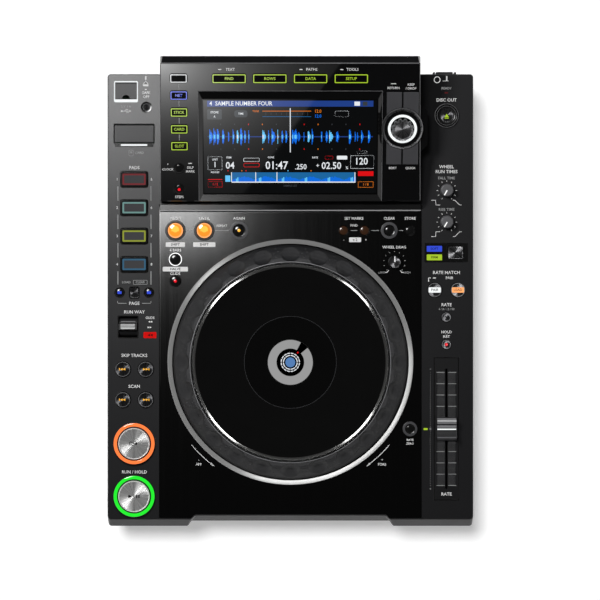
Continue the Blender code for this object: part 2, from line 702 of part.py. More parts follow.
def make_cabinet():
    """The plastic case: both columns, the front with its disc slot, and the top's openings."""
    cabinet = node("upper_cabinet", cabinet_body(), "column_plastic")
    soften(cabinet)
    hollow_front = -HALF_DEPTH + FRONT_HOLLOW_INSET
    hollow_rear = CABINET_REAR - CABINET_WALL
    inside = placed(
        block(BODY_WIDTH - 2 * CABINET_WALL, hollow_rear - hollow_front, 0, HOLLOW_TOP),
        (0, (hollow_front + hollow_rear) / 2, 0),
    )
    shape_with(cabinet, inside, "DIFFERENCE")

    card = on_column(DOOR_PLACE_SHARES["card_door"])
    post_x = MEDIA_BOARD_WIDTH / 2 - MEDIA_POST_INSET
    post_y = CARD_DOOR_DEPTH / 2 + 2 * MEDIA_POST_RADIUS
    posts = [
        placed(prism(circle(MEDIA_POST_RADIUS, STEPS_TINY), -MEDIA_BOARD_DROP, OVERLAP - CABINET_TOP_WALL),
               card + Vector((across, along, 0)))
        for across in (-post_x, post_x)
        for along in (-post_y, post_y)
    ]
    rings = [
        placed(loft([
            (circle(START_RING_RADIUS, STEPS_LARGE), -OVERLAP),
            (circle(START_RING_RADIUS, STEPS_LARGE), START_RING_RISE - RING_CHAMFER),
            (circle(START_RING_RADIUS - RING_CHAMFER, STEPS_LARGE), START_RING_RISE),
        ]), on_column(place))
        for place in START_RING_PLACE_SHARES
    ]
    rings.append(placed(loft([
        (circle(EJECT_RING_RADIUS, STEPS_LARGE), -OVERLAP),
        (circle(EJECT_RING_RADIUS, STEPS_LARGE), EJECT_RING_RISE - RING_CHAMFER),
        (circle(EJECT_RING_RADIUS - RING_CHAMFER, STEPS_LARGE), EJECT_RING_RISE),
    ]), on_column(EJECT_PLACE_SHARES)))
    switch = switch_place()
    guards = [
        placed(block(GUARD_WIDTH, GUARD_REACH + OVERLAP, -SWITCH_HEIGHT, SWITCH_HEIGHT),
               switch + Vector((side * (SWITCH_WIDTH / 2 + GUARD_GAP + GUARD_WIDTH / 2),
                                (GUARD_REACH - OVERLAP) / 2, 0)))
        for side in (-1, 1)
    ]
    shape_with(cabinet, gathered(posts + rings + guards), "UNION")

    pocket = prism(deck_outline(0), DECK_HEIGHT - DECK_THICKNESS - GAP, DECK_HEIGHT + OVERRUN)
    window_front = DECK_FRONT + DECK_FRONT_LEDGE + RECESS_DEPTH
    window_rear = DECK_REAR - LEDGE_WIDTH - UPSTAND_RUN
    window = placed(
        block(2 * (DECK_HALF_WIDTH - LEDGE_WIDTH), window_rear - window_front,
              HOLLOW_TOP - OVERRUN, DECK_HEIGHT - DECK_THICKNESS),
        (0, (window_front + window_rear) / 2, 0),
    )
    shape_with(cabinet, pocket, "DIFFERENCE")
    shape_with(cabinet, window, "DIFFERENCE")
    shape_with(cabinet, gathered(cabinet_holes()), "DIFFERENCE")
    left = -HALF_WIDTH + REAR_NOTCH_LEFT_INSET
    right = HALF_WIDTH - REAR_NOTCH_RIGHT_INSET
    notch = block(right - left, 2 * OVERRUN, CABINET_BASE_HEIGHT - OVERRUN, REAR_NOTCH_TOP)
    shape_with(cabinet, notch, "DIFFERENCE", ((left + right) / 2, CABINET_REAR, 0))


def cabinet_holes():
    """Cutters for everything that passes through the cabinet's walls."""
    panel = CABINET_TOP_WALL
    holes = []
    for shares, radius, _ in COLUMN_BUTTONS.values():
        holes.append(placed(round_hole(radius, panel), on_column(shares)))
    for shares, width, depth, _ in COLUMN_KEYS.values():
        holes.append(placed(key_hole(width, depth, panel), on_column(shares)))
    for shares in COLUMN_KNOB_PLACE_SHARES.values():
        holes.append(placed(round_hole(ADJUST_RADIUS - KNOB_SKIRT, panel), on_column(shares)))
    for name, width, depth in door_sizes():
        hole = block(width + 2 * GAP, depth + 2 * GAP, -panel - OVERRUN, OVERRUN)
        holes.append(placed(hole, on_column(DOOR_PLACE_SHARES[name])))
    well = block(LEVER_WELL_WIDTH, LEVER_WELL_DEPTH, -panel - OVERRUN, OVERRUN)
    holes.append(placed(well, on_column(LEVER_PLACE_SHARES)))
    slot_length = 2 * FADER_TRAVEL + FADER_STEM_DEPTH + 2 * RUNNING_GAP
    holes.append(placed(block(FADER_SLOT_WIDTH, slot_length, -panel - OVERRUN, OVERRUN),
                        on_column(FADER_PLACE_SHARES)))
    cables = block(CABLE_WINDOW_WIDTH, CABLE_WINDOW_DEPTH, -panel - OVERRUN, OVERRUN)
    holes.append(placed(cables, (0, (HOUSING_FRONT + CABINET_REAR) / 2, DECK_HEIGHT)))

    front = -HALF_DEPTH + RECESS_DEPTH
    throat = front + CABINET_WALL + FRONT_LEAN
    narrow = SLOT_GAP / 2
    flared = narrow + SLOT_MOUTH_FLARE
    mouth = [
        (front - OVERRUN, -flared), (front + FRONT_LEAN, -flared), (throat, -narrow),
        (front + FRONT_HOLLOW_INSET, -narrow), (front + FRONT_HOLLOW_INSET, narrow), (throat, narrow),
        (front + FRONT_LEAN, flared), (front - OVERRUN, flared),
    ]
    holes.append(placed(side_prism(mouth, SLOT_WIDTH / 2), (0, 0, DISC_HEIGHT)))

    switch = block(SWITCH_WIDTH + 2 * GAP, 2 * OVERRUN, -SWITCH_HEIGHT / 2 - GAP, SWITCH_HEIGHT / 2 + GAP)
    holes.append(placed(switch, switch_place()))
    return holes


def switch_place():
    """The middle of the power switch, on the cabinet's rear wall."""
    across = RIGHT * (COLUMN_MIDDLE + SWITCH_ACROSS_SHARE * COLUMN_WIDTH / 2)
    return Vector((across, CABINET_REAR, DECK_HEIGHT - SWITCH_CENTRE_DROP))


def door_sizes():
    """Each media door's name, width and depth."""
    return (
        ("usb_door", STICK_DOOR_WIDTH, STICK_DOOR_DEPTH),
        ("card_door", CARD_DOOR_WIDTH, CARD_DOOR_DEPTH),
    )


def make_doors():
    """The lids over the memory stick and card sockets, each round its own rear hinge line."""
    radius = DOOR_THICKNESS / 2
    for name, width, depth in door_sizes():
        arc = [math.pi / 2 - math.pi * step / 6 for step in range(7)]
        profile = [(radius * math.cos(a), radius * math.sin(a)) for a in arc]
        profile += [(radius - depth, -radius), (radius - depth, radius)]
        place = on_column(DOOR_PLACE_SHARES[name]) + Vector((0, depth / 2 - radius, -radius))
        door = node(name, side_prism(profile, width / 2), "column_plastic", place)
        notch = prism(circle(DOOR_NOTCH_RADIUS, STEPS_TINY), -OVERRUN, OVERRUN)
        shape_with(door, notch, "DIFFERENCE", place + Vector((0, radius - depth, 0)))


def make_media_board():
    """The small board under the left column that holds the stick and card sockets."""
    stick = on_column(DOOR_PLACE_SHARES["usb_door"])
    card = on_column(DOOR_PLACE_SHARES["card_door"])
    top = DECK_HEIGHT - MEDIA_BOARD_DROP - GAP
    rear = stick.y + MEDIA_BOARD_REAR_MARGIN
    front = card.y - MEDIA_BOARD_FRONT_MARGIN
    board = node("media_board", block(MEDIA_BOARD_WIDTH, rear - front, top - BOARD_THICKNESS, top),
                 "circuit_board", (card.x, (front + rear) / 2, 0))
    sockets = []
    mouths = []
    ceiling = DECK_HEIGHT - SOCKET_TOP_DROP
    for place, width, depth, gap in (
        (stick, STICK_SOCKET_WIDTH, STICK_SOCKET_DEPTH, STICK_SOCKET_DEPTH - 2 * SOCKET_WALL),
        (card, CARD_SOCKET_WIDTH, CARD_SOCKET_DEPTH, CARD_MOUTH_GAP),
    ):
        base = (place.x, place.y, 0)
        mouth = block(width - 2 * SOCKET_WALL, gap, top + BOARD_THICKNESS, ceiling + OVERRUN)
        sockets.append(placed(block(width, depth, top - OVERLAP, ceiling), base))
        mouths.append(placed(mouth, base))
    shape_with(board, gathered(sockets), "UNION")
    shape_with(board, gathered(mouths), "DIFFERENCE")


def make_deck():
    """The brushed deck plate with its raised rear edge and the holes for the jog and buttons."""
    outline = deck_outline(GAP)
    inside = [(x, min(y, DECK_REAR - UPSTAND_RUN / 2)) for x, y in outline]
    deck = node("deck_plate", prism(inside, DECK_HEIGHT - DECK_THICKNESS, DECK_HEIGHT), "brushed_deck")
    slope = UPSTAND_RUN / UPSTAND_RISE
    low = DECK_HEIGHT - OVERLAP
    rear = DECK_REAR - GAP
    upstand = [
        (rear - UPSTAND_RUN - OVERLAP * slope, low), (rear, DECK_HEIGHT + UPSTAND_RISE),
        (rear, DECK_HEIGHT - DECK_THICKNESS + OVERLAP / 2),
        (rear - UPSTAND_RUN - OVERLAP * slope, DECK_HEIGHT - DECK_THICKNESS + OVERLAP / 2),
    ]
    shape_with(deck, side_prism(upstand, DECK_HALF_WIDTH - 2 * GAP), "UNION")
    holes = [
        placed(round_hole(radius, DECK_THICKNESS), on_deck(shares))
        for shares, radius, _ in DECK_BUTTONS.values()
    ]
    holes.append(placed(round_hole(ADJUST_RADIUS - KNOB_SKIRT, DECK_THICKNESS), on_deck(ADJUST_PLACE_SHARES)))
    holes.append(placed(prism(circle(TRIM_RING_BORE, STEPS_PLATTER), -OVERRUN, OVERRUN), JOG_PLACE))
    shape_with(deck, gathered(holes), "DIFFERENCE")


def make_jog():
    """The jog wheel on its bearing cup, with the platter, the trim ring and the centre display."""
    bottom = -JOG_SKIRT_DROP
    top = JOG_TOP_RISE
    shelf = top - PLATTER_THICKNESS - GAP
    skirt = 2 * BEARING_WALL
    shelf_radius = GRIP_INNER_RADIUS - PLATTER_SHELF_WIDTH
    wheel = node("jog_wheel", turned([
        (GRIP_INNER_RADIUS, top), (GRIP_CROWN_RADIUS, top - GAP),
        (JOG_RADIUS - skirt / 2, JOG_SHOULDER_RISE + skirt / 2),
        (JOG_RADIUS, JOG_SHOULDER_RISE), (JOG_RADIUS, bottom), (JOG_RADIUS - skirt, bottom),
        (JOG_RADIUS - skirt, shelf - PLATTER_SHELF_THICKNESS),
        (shelf_radius, shelf - PLATTER_SHELF_THICKNESS), (shelf_radius, shelf), (GRIP_INNER_RADIUS, shelf),
    ], STEPS_JOG), "grip_rubber", JOG_PLACE)
    ball = (DIMPLE_RADIUS ** 2 + DIMPLE_DEPTH ** 2) / (2 * DIMPLE_DEPTH)
    run = JOG_RADIUS - GRIP_CROWN_RADIUS
    drop = top - JOG_SHOULDER_RISE
    lean = math.atan2(drop, run)
    surface = top - drop * (DIMPLE_PITCH_RADIUS - GRIP_CROWN_RADIUS) / run * DIMPLE_LEVEL_SHARE
    balls = []
    for number in range(DIMPLE_COUNT):
        shape = bmesh.new()
        bmesh.ops.create_icosphere(shape, subdivisions=2, radius=ball)
        lift = ball - DIMPLE_DEPTH
        radius = DIMPLE_PITCH_RADIUS + lift * math.sin(lean)
        turn = math.tau * number / DIMPLE_COUNT
        place = Vector((radius * math.cos(turn), radius * math.sin(turn), surface + lift * math.cos(lean)))
        balls.append(placed(shape, JOG_PLACE + place))
    shape_with(wheel, gathered(balls), "DIFFERENCE")

    platter_radius = GRIP_INNER_RADIUS - GAP
    node("jog_platter", turned([
        (JOG_DISPLAY_RADIUS + RUNNING_GAP, top), (platter_radius - PLATTER_BEVEL, top),
        (platter_radius, top - PLATTER_BEVEL_DROP), (platter_radius, shelf + GAP),
        (JOG_DISPLAY_RADIUS + RUNNING_GAP, shelf + GAP),
    ], STEPS_PLATTER), "gloss_black", JOG_PLACE)

    flange_top = -DECK_THICKNESS - GAP
    floor = bottom - BEARING_FLOOR_GAP
    cup = TRIM_RING_BORE + GAP
    rim = cup + BEARING_WALL + BEARING_FLANGE
    node("jog_bearing", turned([
        (0, top), (JOG_DISPLAY_RADIUS, top), (JOG_DISPLAY_RADIUS, floor), (cup, floor), (cup, flange_top),
        (rim, flange_top), (rim, flange_top - BEARING_FLANGE),
        (cup + BEARING_WALL, flange_top - BEARING_FLANGE),
        (cup + BEARING_WALL, floor - BEARING_WALL), (0, floor - BEARING_WALL),
    ], STEPS_BEARING), "gloss_black", JOG_PLACE)

    node("jog_trim_ring", turned([
        (TRIM_RING_BORE, GAP), (TRIM_RING_BORE, TRIM_RING_HEIGHT),
        (TRIM_RING_RADIUS - CAP_CHAMFER, TRIM_RING_HEIGHT),
        (TRIM_RING_RADIUS, TRIM_RING_HEIGHT - CAP_CHAMFER), (TRIM_RING_RADIUS, GAP),
    ], STEPS_PLATTER), "satin_metal", JOG_PLACE)


def make_buttons():
    """Every push button on the columns and on the deck plate."""
    rows = [(name, on_column(shares), radius, rise, CABINET_TOP_WALL)
            for name, (shares, radius, rise) in COLUMN_BUTTONS.items()]
    rows += [(name, on_deck(shares), radius, rise, DECK_THICKNESS)
             for name, (shares, radius, rise) in DECK_BUTTONS.items()]
    for name, place, radius, rise, panel in rows:
        if name in ("cue_button", "play_button"):
            node(name, start_cap(panel), "satin_metal", place)
            continue
        surface = "black_key"
        if name.startswith("loop_"):
            surface = "orange_key"
        elif name.startswith(("track_", "search_")):
            surface = "satin_metal"
        node(name, round_cap(radius, rise, panel), surface, place)
    for name, (shares, width, depth, rise) in COLUMN_KEYS.items():
        node(name, key_cap(width, depth, rise, CABINET_TOP_WALL), "black_key", on_column(shares))


def make_knobs():
    """The small turning knobs: the jog's stands pointer up, the column's two point to the lower left."""
    make_knob("jog_adjust_knob", on_deck(ADJUST_PLACE_SHARES), DECK_THICKNESS, 0.0)
    for name, shares in COLUMN_KNOB_PLACE_SHARES.items():
        make_knob(name, on_column(shares), CABINET_TOP_WALL, math.radians(150))


def make_knob(name, place, panel, turn):
    """One small knob: a grip with a pointer groove and a shaft through the panel."""
    shaft = circle(ADJUST_RADIUS - KNOB_SKIRT - GAP, STEPS_SMALL)
    grip = circle(ADJUST_RADIUS, STEPS_SMALL)
    crown = circle(ADJUST_RADIUS - KNOB_SKIRT, STEPS_SMALL)
    knob = node(name, loft([
        (shaft, -panel), (shaft, GAP), (grip, GAP), (grip, KNOB_RISE / 2), (crown, KNOB_RISE - CAP_CHAMFER),
        (circle(ADJUST_RADIUS - 2 * KNOB_SKIRT, STEPS_SMALL), KNOB_RISE),
    ]), "black_key", place)
    groove = placed(block(KNOB_GROOVE, ADJUST_RADIUS + OVERLAP, KNOB_RISE - KNOB_GROOVE, KNOB_RISE + OVERRUN),
                    (0, ADJUST_RADIUS / 2, 0))
    groove.transform(Matrix.Rotation(turn, 4, "Z"))
    shape_with(knob, groove, "DIFFERENCE", place)


def make_lever():
    """The direction lever: a drum about its pivot with a fin that stands out of its well."""
    width = LEVER_WELL_WIDTH - 2 * GAP
    top = LEVER_PIVOT_DROP + LEVER_FIN_RISE
    half = LEVER_FIN_DEPTH / 2
    start = math.acos(half / LEVER_DRUM_RADIUS)
    sweep = math.pi + 2 * start
    angles = [start - sweep * step / STEPS_DRUM for step in range(STEPS_DRUM + 1)]
    points = [(LEVER_DRUM_RADIUS * math.cos(a), LEVER_DRUM_RADIUS * math.sin(a)) for a in angles]
    points += [(-LEVER_FIN_TOP_DEPTH / 2, top), (LEVER_FIN_TOP_DEPTH / 2, top)]
    place = on_column(LEVER_PLACE_SHARES, DECK_HEIGHT - LEVER_PIVOT_DROP)
    node("direction_lever", side_prism(points, width / 2), "black_key", place)


def make_fader():
    """The tempo fader's scooped cap on its stem, with the carriage under the slot."""
    half = FADER_CAP_DEPTH / 2
    crest = half * FADER_CREST_SHARE
    valley = half * FADER_VALLEY_SHARE
    base = FADER_LIFT
    profile = [
        (-half, base), (half, base), (half, base + FADER_CAP_BASE), (crest, FADER_CAP_HEIGHT),
        (valley, FADER_CAP_HEIGHT - FADER_CAP_DIP), (-valley, FADER_CAP_HEIGHT - FADER_CAP_DIP),
        (-crest, FADER_CAP_HEIGHT), (-half, base + FADER_CAP_BASE),
    ]
    place = on_column(FADER_PLACE_SHARES)
    fader = node("tempo_fader", side_prism(profile, FADER_CAP_WIDTH / 2), "black_key", place)
    under = -CABINET_TOP_WALL - GAP
    stem = block(FADER_STEM_WIDTH, FADER_STEM_DEPTH, under - OVERLAP, base + OVERLAP)
    carriage = block(FADER_CAP_WIDTH / 2, 2 * FADER_STEM_DEPTH, under - CARRIAGE_THICKNESS, under)
    shape_with(fader, stem, "UNION", place)
    shape_with(fader, carriage, "UNION", place)


def make_switch():
    """The power switch, which is pushed in towards the front, with its inner flange."""
    cap = key_cap(SWITCH_WIDTH, SWITCH_HEIGHT, SWITCH_REACH, CABINET_WALL)
    cap.transform(Matrix.Rotation(-math.pi / 2, 4, "X"))
    node("power_switch", cap, "black_key", switch_place())


def housing_body(inset, foot):
    """The display housing's wedge, or its hollow when drawn in by an inset."""
    normal_drop = inset / math.cos(HOUSING_TILT)
    front = HOUSING_FRONT + inset
    ridge = HALF_DEPTH - HOUSING_RIDGE_RUN
    rear, chin, base = [
        DECK_HEIGHT + share * (BODY_HEIGHT - DECK_HEIGHT)
        for share in (HOUSING_REAR_SHARE, HOUSING_CHIN_SHARE, HOUSING_FOOT_SHARE)
    ]
    rise = math.tan(HOUSING_TILT)
    shape = bmesh.new()
    profile = [
        (front, foot), (front, HOUSING_FRONT_HEIGHT - normal_drop + inset * rise),
        (ridge - inset, BODY_HEIGHT - normal_drop - inset * rise), (HALF_DEPTH - 2 * inset, rear),
        (HALF_DEPTH - HOUSING_CHIN_RUN - 2 * inset, chin),
        (CABINET_REAR - inset, base + inset), (CABINET_REAR - inset, foot),
    ]
    rows = []
    for side in (-1, 1):
        row = []
        for y, z in profile:
            draft = HOUSING_DRAFT * (z - DECK_HEIGHT) / (BODY_HEIGHT - DECK_HEIGHT)
            row.append(shape.verts.new((side * (HOUSING_HALF_WIDTH - draft - inset), y, z)))
        rows.append(row)
    for here in range(len(profile)):
        after = (here + 1) % len(profile)
        shape.faces.new((rows[0][here], rows[0][after], rows[1][after], rows[1][here]))
    shape.faces.new(rows[0])
    shape.faces.new(rows[1])
    bmesh.ops.recalc_face_normals(shape, faces=shape.faces)
    return shape


def make_housing(face):
    """The display housing: a hollow wedge with a lug, and holes for its keys and selector."""
    housing = node("display_housing", housing_body(0, DECK_HEIGHT + GAP), "gloss_black")
    soften(housing)
    lug_y = LUG_Y_SHARE * HALF_DEPTH
    side = HOUSING_HALF_WIDTH - HOUSING_DRAFT - OVERLAP
    reach = HOUSING_HALF_WIDTH + LUG_REACH
    full = LUG_FULL_LENGTH / 2
    skew = full + LUG_REACH + HOUSING_DRAFT
    lug = prism([
        (side, lug_y - skew), (reach, lug_y - full), (reach, lug_y + full), (side, lug_y + skew),
    ], DECK_HEIGHT + GAP, DECK_HEIGHT + LUG_TOP_SHARE * (BODY_HEIGHT - DECK_HEIGHT))
    shape_with(housing, lug, "UNION")
    ring = placed(loft([
        (circle(SELECTOR_RING_RADIUS, STEPS_LARGE), -OVERLAP),
        (circle(SELECTOR_RING_RADIUS, STEPS_LARGE), SELECTOR_RING_RISE - RING_CHAMFER),
        (circle(SELECTOR_RING_RADIUS - RING_CHAMFER, STEPS_LARGE), SELECTOR_RING_RISE),
    ]), on_band(SELECTOR_PLACE_SHARES))
    shape_with(housing, ring, "UNION", parent=face)
    shape_with(housing, housing_body(HOUSING_WALL, DECK_HEIGHT - OVERRUN), "DIFFERENCE")
    shape_with(housing, gathered(face_holes()), "DIFFERENCE", parent=face)


def face_holes():
    """Cutters for what passes through the tilted face, in the face's own frame."""
    holes = []
    for place in source_places():
        holes.append(placed(key_hole(SOURCE_WIDTH, SOURCE_DEPTH, HOUSING_WALL, 1), place))
    for place in menu_places():
        holes.append(placed(key_hole(MENU_WIDTH, MENU_DEPTH, HOUSING_WALL, 1), place))
    for shares in FACE_BUTTON_PLACE_SHARES.values():
        holes.append(placed(round_hole(SMALL_RADIUS, HOUSING_WALL), on_band(shares)))
    selector = on_band(SELECTOR_PLACE_SHARES)
    well = circle(SELECTOR_RING_BORE, STEPS_LARGE)
    shaft = circle(SELECTOR_SHAFT_RADIUS + SELECTOR_SHAFT_CLEARANCE, STEPS_LARGE)
    floor = -OVERLAP / 2
    holes.append(placed(loft([(shaft, -OVERRUN), (shaft, floor), (well, floor), (well, OVERRUN)]), selector))
    for outline in corner_outlines(GAP):
        holes.append(placed(prism(outline, -HOUSING_WALL - OVERRUN, OVERRUN), selector))
    return holes


def source_places():
    """Where the source keys stand, from the lowest up."""
    return [
        on_band((LEFT, SOURCE_BAND_SHARE, SOURCE_FIRST_V_SHARE + step * SOURCE_STEP_SHARE))
        for step in range(SOURCE_COUNT)
    ]


def menu_places():
    """Where the menu keys stand, from left to right."""
    along = MENU_V_SHARE * HOUSING_FACE_LENGTH
    return [Vector(((number - (MENU_COUNT - 1) / 2) * MENU_PITCH, along, 0)) for number in range(MENU_COUNT)]


def corner_outlines(grow=0.0, steps=5):
    """Plans of the four keys round the selector, about its centre, each cut by the ring."""
    side = CORNER_KEYS_WIDTH / 2 + grow
    end = CORNER_KEYS_LENGTH / 2 + grow
    split = CORNER_KEYS_GAP / 2 - grow
    ring = SELECTOR_RING_RADIUS + CORNER_KEYS_RING_GAP - grow
    start = math.acos(side / ring)
    stop = math.acos(split / ring)
    arc = [start + (stop - start) * step / steps for step in range(steps + 1)]
    quarter = [(ring * math.cos(a), ring * math.sin(a)) for a in arc] + [(split, end), (side, end)]
    outlines = []
    for sx, sy in ((1, 1), (-1, 1), (-1, -1), (1, -1)):
        outline = [(sx * x, sy * y) for x, y in quarter]
        outlines.append(outline if sx * sy < 0 else outline[::-1])
    return outlines


def key_group(name, caps, carrier, face, place):
    """Keys moulded on one carrier under the panel."""
    group = node(name, carrier, "black_key", place, face)
    shape_with(group, gathered(caps), "UNION", place, face)
    return group


def make_face_keys(face):
    """The keys on the tilted face: sources, menus, the four by the selector, and two buttons."""
    under = -HOUSING_WALL - GAP
    top = SMALL_RISE - CAP_CHAMFER

    def cap(width, depth, offset):
        body = rounded(width, depth, KEY_CORNER, 1)
        crown = rounded(width - 2 * CAP_CHAMFER, depth - 2 * CAP_CHAMFER, KEY_CORNER - CAP_CHAMFER, 1)
        return placed(loft([(body, under - CARRIER_THICKNESS / 2), (body, top), (crown, SMALL_RISE)]), offset)

    sources = source_places()
    middle = sources[len(sources) // 2]
    length = (sources[-1] - sources[0]).y
    strip = block(SOURCE_CARRIER_WIDTH, length, under - CARRIER_THICKNESS, under)
    caps = [cap(SOURCE_WIDTH, SOURCE_DEPTH, place - middle) for place in sources]
    key_group("source_keys", caps, strip, face, middle)

    menus = menu_places()
    middle = (menus[0] + menus[-1]) / 2
    length = (menus[-1] - menus[0]).x
    strip = block(length, MENU_CARRIER_DEPTH, under - CARRIER_THICKNESS, under)
    caps = [cap(MENU_WIDTH, MENU_DEPTH, place - middle) for place in menus]
    key_group("menu_keys", caps, strip, face, middle)

    selector = on_band(SELECTOR_PLACE_SHARES)
    hole = 2 * SELECTOR_SHAFT_RADIUS
    plate_width = CORNER_KEYS_WIDTH - 2 * CORNER_CARRIER_INSET
    plate_length = CORNER_KEYS_LENGTH - CORNER_CARRIER_INSET
    plate = prism(rounded(plate_width, plate_length, KEY_CORNER), under - CARRIER_THICKNESS, under)
    caps = [
        loft([(outline, under - CARRIER_THICKNESS / 2), (outline, SMALL_RISE)])
        for outline in corner_outlines()
    ]
    group = key_group("selector_side_keys", caps, plate, face, selector)
    shape_with(group, prism(circle(hole, STEPS_SMALL), under - OVERRUN, under + OVERLAP), "DIFFERENCE",
               selector, face)

    for name, shares in FACE_BUTTON_PLACE_SHARES.items():
        node(name, round_cap(SMALL_RADIUS, SMALL_RISE, HOUSING_WALL), "black_key", on_band(shares), face)


def make_selector(face):
    """The rotary selector: a shaft that is pushed in, and a scalloped knob that turns on it."""
    place = on_band(SELECTOR_PLACE_SHARES)
    shaft_top = SELECTOR_RISE - 2 * FLANGE_THICKNESS
    shaft = circle(SELECTOR_SHAFT_RADIUS, STEPS_TINY)
    collar = circle(SELECTOR_SHAFT_RADIUS + FLANGE_WIDTH, STEPS_TINY)
    under = -HOUSING_WALL - GAP
    node("selector_shaft", loft([
        (collar, under - SELECTOR_SHAFT_LENGTH / 2), (collar, under - GAP),
        (shaft, under - GAP), (shaft, shaft_top),
    ]), "satin_metal", place, face)
    count = 4 * SELECTOR_SCALLOP_COUNT
    outline = []
    for step in range(count):
        angle = math.tau * step / count
        radius = SELECTOR_RADIUS - SELECTOR_SCALLOP * (1 - math.cos(SELECTOR_SCALLOP_COUNT * angle)) / 2
        outline.append((radius * math.cos(angle), radius * math.sin(angle)))
    share = 1 - CAP_CHAMFER / SELECTOR_RADIUS
    crown = [(x * share, y * share) for x, y in outline]
    low = SELECTOR_LIFT
    knob = node("selector_knob", loft([
        (outline, low), (outline, SELECTOR_RISE - CAP_CHAMFER), (crown, SELECTOR_RISE),
    ]), "black_key", place, face)
    bore = prism(circle(SELECTOR_SHAFT_RADIUS + SELECTOR_SHAFT_CLEARANCE, STEPS_TINY), low - OVERRUN,
                 shaft_top + GAP)
    shape_with(knob, bore, "DIFFERENCE", place, face)


def make_screen(face):
    """The raised screen frame with mitred bevels, and the glass that fills it."""
    half = SCREEN_FRAME_WIDTH / 2
    length = SCREEN_FRAME_LENGTH
    outer = [(-half, GAP), (half, GAP), (half, length), (-half, length)]
    inner_half = half - SCREEN_FRAME_SIDE_BEVEL
    front = SCREEN_FRAME_FRONT_BEVEL
    rear = length - SCREEN_FRAME_REAR_BEVEL
    top = [(-inner_half, front), (inner_half, front), (inner_half, rear), (-inner_half, rear)]
    raised = loft([(outer, GAP), (top, SCREEN_FRAME_HEIGHT)])
    frame = node("screen_frame", raised, "screen_bezel", parent=face)
    land = SCREEN_FRAME_LAND
    centre = (0, (front + rear) / 2, 0)
    width = 2 * (inner_half - land)
    depth = rear - front - 2 * land
    shape_with(frame, block(width, depth, -OVERRUN, OVERRUN), "DIFFERENCE", centre, face)
    glass = block(width - 2 * GAP, depth - 2 * GAP, GAP, SCREEN_FRAME_HEIGHT - GAP)
    node("screen_glass", glass, "dark_glass", centre, face)


def make_chassis():
    """The steel tray with its feet, bosses, vents and the rear wall for the sockets."""
    half = HALF_WIDTH - CHASSIS_INSET
    rear = CABINET_REAR - CABINET_WALL + CHASSIS_REAR_SHEET + GAP
    front = -HALF_DEPTH + RECESS_DEPTH + FRONT_LEAN + CHASSIS_INSET
    middle = (front + rear) / 2
    depth = rear - front
    top = CABINET_BASE_HEIGHT - GAP
    tray = placed(prism(rounded(2 * half, depth, CORNER_RADIUS), FOOT_HEIGHT, top), (0, middle, 0))
    chassis = node("bottom_chassis", tray, "painted_steel")
    inside = block(2 * (half - CHASSIS_SHEET), depth - CHASSIS_SHEET - CHASSIS_REAR_SHEET, FLOOR_HEIGHT,
                   top + OVERRUN)
    offset = (CHASSIS_SHEET - CHASSIS_REAR_SHEET) / 2
    shape_with(chassis, placed(inside, (0, middle + offset, 0)), "DIFFERENCE")

    left = -HALF_WIDTH + REAR_NOTCH_LEFT_INSET + GAP
    right = HALF_WIDTH - REAR_NOTCH_RIGHT_INSET - GAP
    wall = placed(block(right - left, CHASSIS_REAR_SHEET, top - OVERLAP, REAR_NOTCH_TOP - GAP),
                  ((left + right) / 2, rear - CHASSIS_REAR_SHEET / 2, 0))
    shape_with(chassis, wall, "UNION")
    feet = []
    for x in (-1, 1):
        for y in (-1, 1):
            place = (x * (HALF_WIDTH - FOOT_INSET_X), middle + y * (depth / 2 - FOOT_INSET_Y), 0)
            feet.append(placed(loft([
                (circle(FOOT_RADIUS - FOOT_TAPER, STEPS_SMALL), 0),
                (circle(FOOT_RADIUS - FOOT_TAPER / 2, STEPS_SMALL), FOOT_TAPER / 2),
                (circle(FOOT_RADIUS, STEPS_SMALL), FOOT_HEIGHT + OVERLAP),
            ]), place))
    boss_top = FLOOR_HEIGHT + BOSS_HEIGHT
    bosses = [
        placed(prism(circle(BOSS_RADIUS, STEPS_TINY), FLOOR_HEIGHT - OVERLAP, boss_top), corner)
        for corner in board_corners()
    ]
    shape_with(chassis, gathered(feet + bosses), "UNION")
    vents = []
    for number in range(VENT_COUNT):
        y = (number - (VENT_COUNT - 1) / 2) * VENT_PITCH
        vents.append(placed(block(VENT_LENGTH, VENT_WIDTH, FOOT_HEIGHT - OVERRUN, FLOOR_HEIGHT + OVERLAP),
                            (HALF_WIDTH / 2, y, 0)))
    vents += [placed(shape, place) for shape, place in rear_openings(GAP)]
    shape_with(chassis, gathered(vents), "DIFFERENCE")


def board_span():
    """The main board's left, right, front and rear edges."""
    left = -HALF_WIDTH + BOARD_SIDE_INSET
    right = HALF_WIDTH - BOARD_SIDE_INSET
    rear = CABINET_REAR - CABINET_WALL - BOARD_REAR_GAP
    return left, right, rear - BOARD_DEPTH, rear


def board_corners():
    """The four places where the main board stands on the tray's bosses."""
    left, right, front, rear = board_span()
    inset = 2 * BOSS_RADIUS
    return [(x, y, 0) for x in (left + inset, right - inset) for y in (front + inset, rear - inset)]


def rear_sockets():
    """Each socket on the rear wall: kind, place across, width, height, height of its centre."""
    low = SOCKET_BOTTOM_HEIGHT
    rows = [
        ("phono", share * HALF_WIDTH, PHONO_BODY_WIDTH, PHONO_HEIGHT, PHONO_HEIGHT)
        for share in PHONO_X_SHARES
    ]
    rows += [
        ("serial", SERIAL_X_SHARE * HALF_WIDTH, SERIAL_WIDTH, SERIAL_HEIGHT, low + SERIAL_HEIGHT / 2),
        ("network", NETWORK_X_SHARE * HALF_WIDTH, NETWORK_WIDTH, NETWORK_HEIGHT, low + NETWORK_HEIGHT / 2),
        ("inlet", inlet_across(), INLET_WIDTH, INLET_HEIGHT, low + INLET_HEIGHT / 2),
    ]
    return rows


